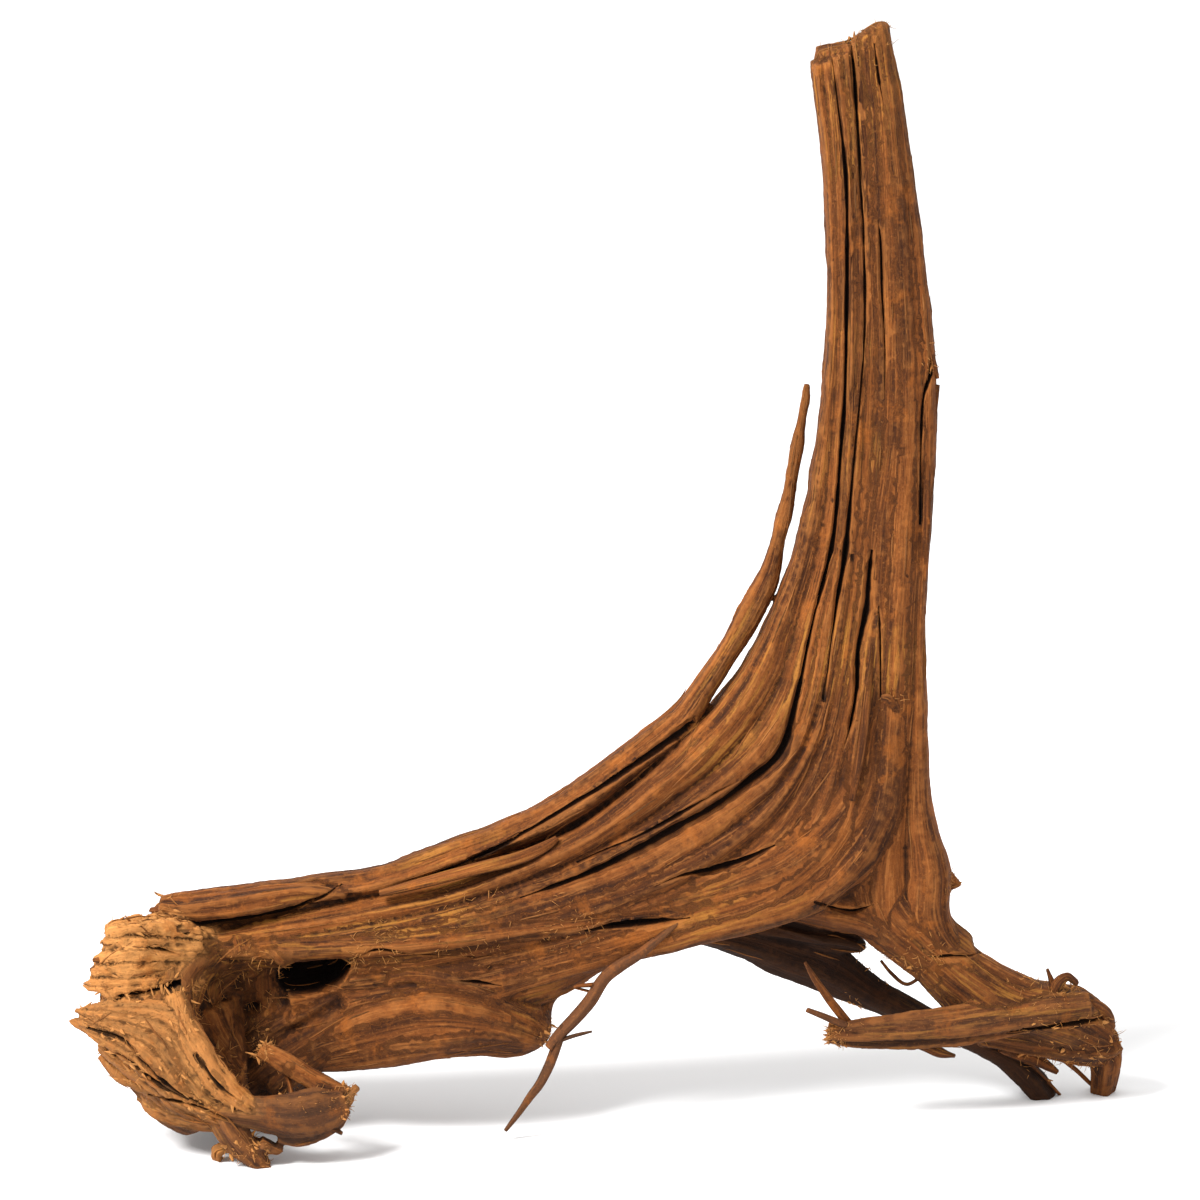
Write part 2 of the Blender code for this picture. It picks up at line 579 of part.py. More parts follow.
def flank(name, seam, inset, depths, rng):
    """Ribs of the side that the seam borders, one behind the other at these depths."""
    made = []
    for depth in depths:
        rows = [(x + inset, depth + 2 * k / len(seam), h, 3, 2.9) for k, (x, h) in enumerate(seam_rows(seam))]
        made.append(limb(f"{name}_{depth}", rows, rng, rings=60, sides=16, flutes=3))
    return made


def trunk(rng):
    """The stem, the arm that sweeps out of it, and the foot that runs on down."""
    behind = [-t for t in SWEEP_THICK]
    foot_behind = [-t for t in FOOT_THICK]
    return [
        core("sweep_core", OUTER_SEAM, HEEL_SEAM, SWEEP_FRONT, SWEEP_BACK, rng),
        *ribs("outer_rib", OUTER_SEAM, DEEP_SEAM, 2, SWEEP_FRONT, SWEEP_THICK, 0, rng),
        *ribs("deep_rib", DEEP_SEAM, CROTCH_SEAM, 2, SWEEP_FRONT, SWEEP_THICK, -2.5, rng),
        *ribs("crotch_rib", CROTCH_SEAM, SLOT_SEAM, 2, SWEEP_FRONT, SWEEP_THICK, 0, rng),
        *ribs("slot_rib", SLOT_SEAM, HEEL_SEAM, 2, SWEEP_FRONT, SWEEP_THICK, 1, rng),
        *ribs("back_rib", OUTER_SEAM, HEEL_SEAM, 6, SWEEP_BACK, behind, 0, rng),
        *flank("left_flank", OUTER_SEAM[:8], 2.6, (-5, 1, 7), rng),
        *flank("right_flank", EDGE_SEAM[:9], -2.5, (-6, 0, 6), rng),
        core("foot_core", SHIN_SEAM, EDGE_SEAM, FOOT_FRONT, FOOT_BACK, rng),
        *ribs("shin_rib", SHIN_SEAM, EDGE_SEAM, 2, FOOT_FRONT, FOOT_THICK, 0, rng),
        *ribs("calf_rib", SHIN_SEAM, EDGE_SEAM, 3, FOOT_BACK, foot_behind, 0, rng),
    ]


def burl_walls(rng):
    """The torn staves that make the burl's outer side."""
    return [
        *ribs("cap_rib", CAP_SEAM, SLAB_SEAM, 3, SLAB_FRONT, SLAB_THICK, 0, rng, 1.5, 0.3),
        *ribs("slab_rib", SLAB_SEAM, WEDGE_SEAM, 2, SLAB_FRONT, SLAB_THICK, 0.5, rng, 1.5, 0.3),
        *ribs("wall_rib", RIM_SEAM, FLAKE_SEAM, 5, WALL_FRONT, WALL_THICK, 0, rng, 1.8, 0.25),
    ]


def mesh_of(obj):
    """A mesh of the object as its modifiers leave it."""
    graph = bpy.context.evaluated_depsgraph_get()
    return bpy.data.meshes.new_from_object(obj.evaluated_get(graph))


def settle(obj):
    """Applies the object's modifiers."""
    mesh = mesh_of(obj)
    obj.modifiers.clear()
    obj.data = mesh


def fuse(pieces):
    """One closed object from pieces that overlap, which are used up."""
    bpy.ops.object.select_all(action="DESELECT")
    for piece in pieces:
        piece.select_set(True)
    body = pieces[0]
    bpy.context.view_layer.objects.active = body
    bpy.ops.object.join()
    remesh = body.modifiers.new("fuse", "REMESH")
    remesh.mode = "VOXEL"
    remesh.voxel_size = VOXEL
    settle(body)
    return body


def combine(body, pieces, operation, solver="EXACT"):
    """One Boolean of all the pieces with the body, which uses them up."""
    group = bpy.data.collections.new(operation.lower())
    bpy.context.scene.collection.children.link(group)
    for piece in pieces:
        group.objects.link(piece)
    boolean = body.modifiers.new(operation.lower(), "BOOLEAN")
    boolean.operation = operation
    boolean.operand_type = "COLLECTION"
    boolean.collection = group
    boolean.solver = solver
    settle(body)
    for piece in pieces:
        bpy.data.objects.remove(piece, do_unlink=True)
    bpy.data.collections.remove(group)


def groove_cutter(name, rows, body_tree, rng, sides=4):
    """A blade that follows the visible surface along the rows and goes in twice as deep as it is wide."""
    sight = Vector((0, 1, -math.tan(SIGHT))).normalized()
    line = smooth(rows, 2 * len(rows) - 1)
    centres, halves = [], []
    for x, h, half_width in line:
        hit = body_tree.ray_cast(real(x, -150, h), sight)[0]
        if hit is not None:
            centres.append(hit)
            halves.append(max(half_width, 0.25) * MM)
    loops = []
    for i, half in enumerate(halves):
        across, out = section(centres, i)
        ragged = 1 + rng.uniform(-0.15, 0.15)
        loops.append([
            centres[i]
            + across * half * ragged * math.cos(2 * math.pi * j / sides)
            + out * half * 2 * ragged * math.sin(2 * math.pi * j / sides)
            for j in range(sides)
        ])
    return loft(name, loops)


def tufts(rng):
    """Short torn fibres along the broken edges, each rooted well inside the wood."""
    made = []
    for name, (start, stop, lean, length, count) in TORN_EDGES.items():
        for k in range(count):
            root = np.array(start) + (np.array(stop) - np.array(start)) * (k + rng.uniform(0.1, 0.9)) / count
            reach = np.array(lean) * length * rng.uniform(0.6, 1.2)
            sway = np.array([rng.uniform(-1, 1) for _ in range(3)]) * 0.25 * length
            wide = rng.uniform(0.9, 1.5)
            rows = [
                (*(root - 0.8 * reach), wide, wide), (*(root + 0.3 * reach), 0.8 * wide, 0.7 * wide),
                (*(root + reach + sway), FINEST, FINEST),
            ]
            made.append(limb(f"{name}_{k}", rows, rng, rings=3, sides=5, flute_depth=0))
    return made


def ground_cutter():
    """A block whose top is the ground, which leaves the lowest points flat to rest on."""
    bpy.ops.mesh.primitive_cube_add(size=1, location=(0, 0, -0.25))
    block = bpy.context.active_object
    block.scale = (1, 1, 0.5)
    return block


def weathered_wood():
    """The material of the whole piece: dry, matt, orange-brown wood."""
    material = bpy.data.materials.new("weathered_wood")
    material.use_nodes = True
    shader = material.node_tree.nodes["Principled BSDF"]
    shader.inputs["Base Color"].default_value = (0.3, 0.13, 0.05, 1)
    shader.inputs["Roughness"].default_value = 0.85
    shader.inputs["Metallic"].default_value = 0
    return material


def limbs(names, table, rng, **settings):
    """The limbs of these names in a table."""
    return [limb(name, limb_rows(table[name]), rng, **settings) for name in names]


def solid_body(rng):
    """The wood in one piece, before its grooves are cut: the hollows go in before the walls round them."""
    inner = ("bowl", "bowl_back")
    body = fuse(trunk(rng) + limbs(inner, LIMBS, rng))
    combine(body, limbs(HOLLOWS, HOLLOWS, rng), "DIFFERENCE")
    outer = [name for name in LIMBS if name not in inner]
    return fuse([body] + burl_walls(rng) + limbs(outer, LIMBS, rng))


def thin_out(body):
    """Brings the body down to about BODY_TRIANGLES."""
    fewer = body.modifiers.new("fewer", "DECIMATE")
    fewer.ratio = BODY_TRIANGLES / sum(len(face.vertices) - 2 for face in body.data.polygons)
    settle(body)


def splinters(rng):
    """Every splinter and torn fibre that stands out of the wood."""
    made = tufts(rng)
    for name, rows in SPLINTERS.items():
        made.append(limb(name, limb_rows(rows), rng, rings=len(rows) + 1, sides=5, flute_depth=0))
    return made


def put_over_origin(body):
    """Moves the mesh in plan so that the middle of its bounding box is over the origin."""
    spots = np.array([vertex.co for vertex in body.data.vertices])
    middle = (spots.min(axis=0) + spots.max(axis=0)) / 2
    body.data.transform(Matrix.Translation((-middle[0], -middle[1], 0)))


def main():
    for obj in list(bpy.data.objects):
        bpy.data.objects.remove(obj, do_unlink=True)
    rng = random.Random(SEED)
    body = solid_body(rng)
    thin_out(body)
    corners = [vertex.co for vertex in body.data.vertices]
    surface = BVHTree.FromPolygons(corners, [face.vertices for face in body.data.polygons])
    cutters = [groove_cutter(name, groove_rows(rows), surface, rng) for name, rows in GROOVES.items()]
    # EXACT leaves loose slivers where this many blades and splinters cross, and MANIFOLD leaves none.
    combine(body, cutters, "DIFFERENCE", "MANIFOLD")
    combine(body, splinters(rng), "UNION", "MANIFOLD")
    combine(body, [ground_cutter()], "DIFFERENCE")
    put_over_origin(body)
    body.name = "driftwood"
    body.data.materials.clear()
    body.data.materials.append(weathered_wood())
    body.data.shade_smooth()
    body.data.set_sharp_from_angle(angle=math.radians(50))
    parts = bpy.data.collections.new("driftwood")
    bpy.context.scene.collection.children.link(parts)
    for collection in list(body.users_collection):
        collection.objects.unlink(body)
    parts.objects.link(body)


main()
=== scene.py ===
"""The looks of a weathered piece of driftwood, laid out as an add-on: fine wood with ridges along its grain,
splinters, lifted strands and torn fibres, on a pale studio floor.

Real places are in millimetres. x runs to the right, y away from the front, and h is the height at which a
point shows from SIGHT above the level, with the ground under x = y = 0 at h = 0.

The rows below were read off a picture of the front, so what it shows is in its pixels, (px, py),
and what it doesn't show, which is depth, is judged in millimetres. WIDTH sets the size of them all.
A seam's row is (px, py). A groove's row is (px, py, half width in pixels). The row of a limb, a hollow or a
splinter is (px, py, y, half width in pixels, half thickness in millimetres).
"""

import math
import random

import bpy
import numpy as np
from bpy.props import FloatProperty, FloatVectorProperty, IntProperty, PointerProperty
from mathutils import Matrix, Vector
from mathutils.bvhtree import BVHTree
from mathutils.kdtree import KDTree


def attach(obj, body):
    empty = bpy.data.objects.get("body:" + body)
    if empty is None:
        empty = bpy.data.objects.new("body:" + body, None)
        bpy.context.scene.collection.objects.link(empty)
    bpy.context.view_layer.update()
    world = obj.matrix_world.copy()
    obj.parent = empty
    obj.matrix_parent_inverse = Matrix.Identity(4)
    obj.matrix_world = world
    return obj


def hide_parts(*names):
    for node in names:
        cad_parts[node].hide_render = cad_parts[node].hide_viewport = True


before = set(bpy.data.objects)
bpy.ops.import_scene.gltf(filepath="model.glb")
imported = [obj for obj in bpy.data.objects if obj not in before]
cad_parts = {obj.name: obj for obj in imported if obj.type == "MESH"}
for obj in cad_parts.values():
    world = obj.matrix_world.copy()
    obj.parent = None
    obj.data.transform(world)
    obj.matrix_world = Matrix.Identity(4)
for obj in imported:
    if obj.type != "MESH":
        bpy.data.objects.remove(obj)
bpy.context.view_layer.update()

bl_info = {
    "name": "Weathered driftwood",
    "version": (1, 0, 0),
    "blender": (4, 5, 0),
    "location": "3D View > Sidebar > Driftwood",
    "description": "Builds a fibrous piece of driftwood and the studio that it stands in",
    "category": "Object",
}

MM = 0.001
# The outline's width, from the burl's torn tips to the end of the foot, in mm and in pixels. The mm value is
# an assumption, since nothing beside the wood shows its size.
WIDTH = 354
WIDTH_PX = 1062
PIXEL = WIDTH / WIDTH_PX
# The pixel column of x = 0 and the pixel row of h = 0, and the pixel in the middle of the picture.
MIDDLE_PX = 600
GROUND_PX = 1120
CENTRE_PX = 600
# The place of the centre of the bounding box in plan, in the frame of the rows.
CENTRE = (0.34, -19.02)
SIGHT = math.radians(14)
SEED = 7
# The least half width and half thickness of a splinter's tip.
FINEST = 0.37
# How many times finer than the solid the limbs are lofted.
FINER = 2
# How wide a groove is cut, as a share of its row, and its section (across, out) in that half width: wide
# lips over the surface, which slope down to a narrow deep slot.
GROOVE_SHARE = 0.55
GROOVE_SECTION = ((1.9, 3.2), (-1.9, 3.2), (-1.45, 0.05), (-0.75, -0.9), (0, -7), (0.75, -0.9), (1.45, 0.05))
# How many points of the limbs' skins are weighed to find the limb that a point of the wood belongs to.
NEAR_RINGS = 20
OUT_OF_REACH = 1e6

# The left edge of the stem and the upper edge of the arm.
OUTER_SEAM = [
    (808, 74), (819, 165), (826, 300), (817, 430), (799, 530), (773, 610), (743, 668), (699, 724),
    (643, 776), (566, 832), (452, 880), (330, 906), (205, 930)
]
# The deep groove that runs the whole length of the sweep.
DEEP_SEAM = [
    (827, 70), (837, 160), (844, 310), (843, 430), (838, 530), (820, 620), (800, 715), (755, 776),
    (685, 824), (595, 870), (480, 908), (360, 934), (235, 950)
]
# The second groove, which ends above the smooth fan.
CROTCH_SEAM = [
    (844, 58), (855, 160), (861, 310), (860, 430), (854, 530), (843, 620), (826, 715), (792, 790),
    (735, 846), (660, 884), (560, 916), (430, 945), (290, 962)
]
# The line of slots that opens on to the fan.
SLOT_SEAM = [
    (863, 38), (874, 160), (880, 310), (881, 430), (868, 530), (862, 620), (850, 720), (826, 815),
    (765, 878), (660, 914), (560, 944), (450, 968), (330, 985)
]
# The lower edge of the fan and of the arm.
HEEL_SEAM = [
    (877, 32), (894, 160), (908, 310), (913, 430), (911, 530), (908, 610), (904, 710), (898, 815),
    (835, 895), (720, 932), (590, 966), (480, 1000), (360, 1030)
]
# The left edge of the foot.
SHIN_SEAM = [
    (871, 34), (889, 160), (903, 310), (908, 430), (907, 530), (904, 610), (896, 710), (882, 800),
    (864, 870), (868, 918), (906, 948), (930, 988), (972, 1026), (1050, 1052)
]
# The right edge of the stem and the top of the foot.
EDGE_SEAM = [
    (882, 34), (905, 160), (926, 310), (934, 430), (929, 530), (925, 610), (926, 720), (933, 815),
    (951, 872), (952, 916), (967, 953), (1006, 978), (1045, 995), (1090, 1014)
]
# The burl's upper side, from the arm to the torn tips: top, middle and lower edge.
CAP_SEAM = [
    (205, 927), (172, 920), (142, 918), (124, 920), (114, 924)
]
SLAB_SEAM = [
    (192, 953), (165, 955), (134, 957), (112, 961), (97, 965)
]
WEDGE_SEAM = [
    (188, 983), (160, 984), (125, 990), (103, 990), (85, 989)
]
# The burl's outer wall, from the foot of the burl to the torn tips: rim and lower edge.
RIM_SEAM = [
    (262, 1108), (232, 1086), (205, 1050), (178, 1004), (120, 997), (84, 1002)
]
FLAKE_SEAM = [
    (235, 1124), (205, 1112), (170, 1094), (138, 1064), (105, 1040), (77, 1024)
]
LIMBS = {
    "prong": [
        (805, 386, -3, 3, 1.4), (803, 402, -3, 5, 1.8), (797, 440, -3, 5.5, 2.2), (791.5, 470, -3, 6, 2.4),
        (787, 500, -3.5, 7, 2.8), (777, 540, -4, 7.5, 3.2), (769, 572, -4, 10, 3.8),
        (754, 605, -4.5, 12, 4.4), (731, 646, -5, 10, 5), (706, 684, -6, 10.5, 6), (681, 720, -7, 14, 7),
        (636, 756, -8, 16, 8), (578, 800, -9, 16, 9), (515, 833, -10, 15, 9.5), (444, 859, -12, 14, 10),
        (382, 879, -13, 13, 11), (322, 890, -14, 15, 11), (250, 902, -15, 17, 11), (188, 907, -16, 16, 9),
        (161, 907, -17, 11, 5)
    ],
    "top_board": [
        (345, 893, -22, 5, 5), (300, 893, -24, 12, 5), (240, 903, -26, 14, 6), (190, 908, -27, 12, 6),
        (160, 905, -27, 9, 4)
    ],
    "rail": [
        (815, 893, -9, 7, 5), (770, 900, -12, 10, 6), (700, 905, -17, 9, 6), (640, 913, -21, 11, 7),
        (570, 922, -24, 13, 7), (500, 930, -26, 14, 8), (430, 938, -27, 14, 9), (360, 943, -27, 14, 9),
        (290, 946, -26, 14, 9), (220, 945, -25, 12, 9)
    ],
    "short_plank": [
        (800, 880, -11, 4, 4), (760, 885, -13, 9, 5), (700, 888, -17, 9, 5), (640, 894, -20, 7, 5)
    ],
    "under_lip": [
        (780, 915, 0, 10, 7), (720, 925, -4, 14, 10), (660, 935, -8, 16, 12), (600, 950, -12, 20, 14),
        (540, 968, -14, 32, 15), (470, 975, -15, 38, 16), (400, 975, -16, 34, 16)
    ],
    "boss": [
        (545, 1042, -14, 15, 4), (525, 1032, -17, 29, 11), (480, 1018, -20, 41, 16),
        (430, 1015, -21, 47, 18), (380, 1026, -20, 45, 17), (335, 1040, -18, 34, 15),
        (300, 1052, -16, 24, 12)
    ],
    "boss_rib_a": [
        (298, 1034, -16, 5, 4), (345, 994, -22, 9, 5), (405, 974, -28, 10, 5), (470, 984, -28, 10, 5),
        (535, 1012, -21, 6, 4)
    ],
    "boss_rib_b": [
        (305, 1050, -24, 5, 4), (360, 1018, -33, 9, 4), (425, 1003, -36.5, 10, 4), (480, 1010, -34, 9, 4),
        (542, 1032, -20, 5, 3)
    ],
    "boss_rib_c": [
        (322, 1060, -23, 5, 4), (372, 1046, -32, 9, 4), (430, 1040, -35.5, 9, 4), (490, 1036, -31.5, 9, 4),
        (545, 1045, -17, 5, 3)
    ],
    "fan": [
        (874, 660, -3, 8, 8), (870, 720, -4, 20, 12), (852, 790, -5, 36, 13), (800, 845, -7, 32, 14),
        (735, 875, -10, 22, 14), (670, 895, -14, 14, 12)
    ],
    "burl_back_a": [
        (215, 925, -10, 14, 8), (160, 935, -18, 14, 8), (125, 960, -28, 14, 8), (112, 1000, -32, 14, 8),
        (118, 1040, -32, 14, 8)
    ],
    "burl_back_b": [
        (235, 950, 2, 16, 7), (190, 975, -2, 18, 8), (155, 1010, -8, 16, 8), (145, 1050, -14, 14, 8),
        (160, 1090, -20, 14, 8)
    ],
    "burl_back_c": [
        (280, 960, 4, 16, 7), (240, 1000, 4, 18, 7), (205, 1040, 0, 16, 8), (195, 1080, -8, 14, 8),
        (210, 1110, -16, 12, 8)
    ],
    "boss_spur": [
        (598, 962, -8, 10, 7), (568, 978, -10, 11, 8), (545, 1000, -12, 10, 6), (538, 1030, -13, 12, 5)
    ],
    "crotch_web": [
        (770, 905, 2, 10, 9), (820, 905, 2, 24, 13), (868, 914, 2, 24, 13), (908, 940, 2, 20, 12),
        (940, 975, 2, 20, 11)
    ],
    "ankle": [
        (880, 800, 2, 18, 13), (880, 850, 2, 34, 14), (885, 900, 2, 40, 14), (926, 945, 2, 36, 13),
        (962, 968, 3, 33, 12)
    ],
    "back_leg": [
        (640, 925, 2, 16, 9), (700, 932, 4, 16, 9), (745, 942, 6, 21, 8), (790, 958, 8, 25, 7),
        (835, 976, 10, 25, 6.5), (878, 1001, 12, 18, 6.5), (944, 1032, 14, 13, 7), (1008, 1063, 16, 14, 8),
        (1034, 1085, 17, 15, 8), (1051, 1104, 19, 14, 8), (1060, 1117, 20, 11, 6)
    ],
    "under_web": [
        (700, 918, 5, 12, 8), (760, 925, 6, 14, 8), (815, 938, 6, 14, 8), (850, 945, 7, 12, 6),
        (868, 952, 8, 6, 4)
    ],
    "bowl_floor": [
        (225, 1035, -12, 24, 8), (245, 1070, -15, 26, 9), (262, 1095, -20, 20, 10)
    ],
    "bowl_ridge_a": [
        (354, 980, -25, 5, 5), (332, 996, -23, 8, 6), (306, 1010, -21, 11, 7), (281, 1023, -19, 13, 7),
        (258, 1038, -18, 13, 7), (238, 1055, -19, 11, 7)
    ],
    "bowl_ridge_b": [
        (342, 1014, -28, 7, 6), (316, 1031, -24, 12, 7), (291, 1047, -22, 14, 7), (268, 1063, -21, 14, 7),
        (248, 1082, -22, 12, 7)
    ],
    "bowl_ridge_c": [
        (336, 1043, -27, 8, 6), (312, 1060, -25, 13, 7), (290, 1077, -24, 14, 7), (270, 1094, -24, 12, 7)
    ],
    "foot_top": [
        (920, 934, 2, 30, 12), (966, 978, 2, 29, 12), (1016, 1007, 3, 27, 12), (1058, 1019, 5, 30, 12),
        (1084, 1027, 8, 31, 11), (1114, 1043, 11, 22, 8)
    ],
    "foot_sole": [
        (985, 1040, 4, 12, 6), (1030, 1048, 6, 14, 8), (1070, 1050, 9, 20, 9), (1105, 1052, 12, 22, 9),
        (1121, 1050, 15, 13, 7)
    ],
    "foot_tip": [
        (1099, 1030, 9, 20, 7), (1115, 1060, 14, 18, 7), (1117, 1084, 19, 14, 6), (1114, 1110, 23, 12, 5)
    ],
    "plank": [
        (830, 1036, -16, 10, 3), (860, 1037, -15, 15, 3.6), (890, 1035, -14, 18, 4),
        (930, 1033, -12, 19, 4.2), (975, 1028, -9, 20, 4.5), (1020, 1021, -5, 19, 5),
        (1060, 1015, -2, 17, 5.5), (1095, 1012, 2, 15, 5)
    ],
    "heel_spur": [
        (936, 872, 6, 9, 6), (952, 884, 6, 11, 4), (961, 886, 6, 7, 3), (964, 884, 6, 3, 2)
    ],
    "bowl": [
        (225, 930, -14, 20, 8), (195, 960, -22, 52, 17), (180, 1000, -30, 70, 26), (182, 1045, -34, 66, 28),
        (200, 1085, -36, 52, 25), (220, 1115, -38, 34, 20)
    ],
    "bowl_back": [
        (260, 945, -12, 30, 14), (260, 990, -10, 42, 13), (275, 1030, -12, 40, 12),
        (290, 1060, -14, 30, 12), (270, 1085, -10, 30, 12), (245, 1110, -2, 20, 9)
    ],
    "cap": [
        (200, 932, -28, 10, 6), (170, 928, -35, 13, 6), (135, 926, -40, 11, 5), (116, 926, -42, 8, 4),
        (109, 933, -43, 4, 3)
    ],
    "rim": [
        (178, 990, -54, 10, 4), (188, 1020, -58, 12, 4), (205, 1050, -60, 14, 4), (225, 1080, -61, 14, 4),
        (250, 1100, -61, 10, 4)
    ],
    "flake_a": [
        (73, 1018, -40, 4, 1.8), (95, 1028, -46, 7, 2.5), (130, 1042, -54, 9, 3), (155, 1066, -59, 10, 3),
        (185, 1092, -61, 9, 3), (215, 1108, -61, 7, 3)
    ],
    "flake_b": [
        (103, 1042, -42, 8, 3), (130, 1060, -50, 12, 3.5), (160, 1082, -56, 11, 3.5), (200, 1104, -59, 9, 3)
    ],
    "flake_c": [
        (102, 1056, -38, 3, 1.8), (120, 1072, -43, 6, 2.5), (148, 1086, -49, 9, 3),
        (180, 1102, -54, 11, 3.5)
    ],
    "belly": [
        (143, 1096, -40, 8, 4), (163, 1105, -46, 12, 6), (195, 1114, -51, 13, 7), (225, 1120, -54, 10, 6)
    ],
    "lobe": [
        (225, 1105, -58, 12, 5), (260, 1108, -60, 17, 5), (295, 1112, -60, 24, 5), (325, 1108, -58, 24, 4),
        (347, 1100, -56, 14, 3)
    ],
    "lobe_edge": [
        (280, 1130, -58, 10, 4), (300, 1131, -58, 11, 4), (325, 1125, -57, 9, 4), (341, 1118, -56, 5, 3)
    ],
    "rod": [
        (262, 1046, -48, 9, 3), (290, 1062, -50, 10, 3.4), (320, 1080, -52, 10, 3.4), (345, 1092, -54, 9, 3)
    ],
    "lobe_corner": [
        (330, 1100, -54, 11, 3), (344, 1097, -54, 9, 3), (352, 1090, -54, 5, 2.2), (358, 1083, -54, 2, 1.3)
    ],
    "strap": [
        (225, 1110, -57, 16, 6), (240, 1135, -58, 16, 6), (255, 1152, -58, 13, 5), (270, 1166, -57, 6, 4)
    ],
    "knuckle": [
        (246, 1142, -56, 6, 3.5), (230, 1145, -55, 5, 3.5), (220, 1148, -55, 7, 3.5),
        (217, 1155, -54, 7, 3.5), (224, 1161, -54, 5, 3)
    ],
    "strap_spur": [
        (262, 1140, -58, 7, 4), (278, 1146, -57, 5, 3), (284, 1143, -57, 3, 2)
    ],
}
HOLLOWS = {
    "cavity": [
        (236, 930, -44, 18, 16), (242, 960, -50, 46, 32), (248, 1005, -56, 58, 40),
        (254, 1045, -56, 48, 36), (262, 1080, -54, 26, 24)
    ],
    "knot": [
        (277, 988, -30, 7, 20), (290, 984, -30, 16, 24), (312, 977, -30, 21, 26), (334, 970, -30, 16, 26),
        (350, 962, -30, 5, 18)
    ],
}
GROOVES = {
    "long": [
        (826, 62, 0), (832, 110, 2), (841, 180, 4), (843, 250, 4.5), (843, 320, 4.5), (842, 400, 4.5),
        (838, 460, 5), (834, 520, 5.5), (828, 560, 6), (816, 605, 4), (806, 650, 4), (796, 700, 6),
        (780, 752, 9), (750, 780, 9), (715, 806, 8), (680, 826, 8), (640, 848, 8), (600, 868, 7),
        (560, 884, 4), (520, 897, 0)
    ],
    "inner": [
        (843, 44, 2), (848, 80, 5), (852, 130, 3), (857, 200, 2), (860, 260, 2.5), (861, 330, 2),
        (857, 400, 2), (850, 480, 2.5), (844, 550, 6), (836, 600, 5), (828, 660, 2), (822, 700, 0)
    ],
    "slot": [
        (873, 226, 0), (876, 250, 4), (878, 300, 3), (881, 350, 3), (881, 402, 0)
    ],
    "deep_slot": [
        (870, 550, 2), (867, 580, 8), (865, 610, 8), (857, 650, 7), (856, 690, 5), (850, 725, 4),
        (842, 752, 0)
    ],
    "thin_slot": [
        (877, 606, 0), (879, 640, 3), (880, 697, 1.5)
    ],
    "shoulder": [
        (696, 720, 6), (680, 734, 12), (650, 755, 9), (610, 782, 6), (570, 806, 6), (530, 830, 5),
        (490, 852, 4), (440, 873, 3), (380, 892, 0)
    ],
    "middle": [
        (742, 779, 0), (720, 790, 3), (690, 808, 4), (660, 825, 4), (630, 840, 3), (602, 851, 2.5),
        (577, 862, 0)
    ],
    "low": [
        (775, 845, 0), (745, 860, 6), (710, 870, 6), (680, 876, 4), (655, 886, 0)
    ],
    "rail": [
        (690, 918, 0), (660, 922, 6), (620, 926, 6), (585, 931, 0)
    ],
    "board": [
        (342, 884, 0), (320, 898, 4), (285, 910, 6), (250, 917, 5), (210, 922, 3), (180, 925, 2)
    ],
    "knot_crack": [
        (345, 963, 4), (362, 954, 2.5), (380, 949, 3), (410, 953, 2), (475, 957, 0)
    ],
    "ledge": [
        (815, 903, 0), (835, 910, 4), (855, 913, 5), (876, 906, 0)
    ],
    "right": [
        (924, 352, 0), (927, 375, 5), (920, 400, 3), (918, 440, 2.5), (918, 525, 0)
    ],
    "crown": [
        (868, 56, 0), (872, 85, 2.5), (878, 116, 0)
    ],
    "sole": [
        (1012, 1037, 0), (1050, 1033, 3), (1090, 1028, 4), (1112, 1024, 4)
    ],
    "ankle": [
        (935, 960, 0), (950, 959, 3), (972, 959, 2), (985, 956, 0)
    ],
    "wedge": [
        (118, 995, 2), (135, 991, 4), (160, 986, 6), (186, 980, 8)
    ],
    "notch": [
        (452, 980, 0), (475, 982, 4), (502, 986, 0)
    ],
    "flake_gap": [
        (90, 1024, 1.5), (128, 1036, 3), (150, 1060, 3.5), (175, 1083, 3), (208, 1101, 1)
    ],
    "lower_gap": [
        (108, 1046, 2), (128, 1053, 4), (160, 1078, 4), (192, 1095, 1)
    ],
    "belly_gap": [
        (150, 1092, 1), (190, 1099, 4), (230, 1113, 2)
    ],
    "rim_gap": [
        (200, 1050, 1), (222, 1080, 4), (248, 1098, 1)
    ],
    "cap_gap": [
        (148, 944, 1), (165, 948, 3.5), (184, 952, 3)
    ],
}
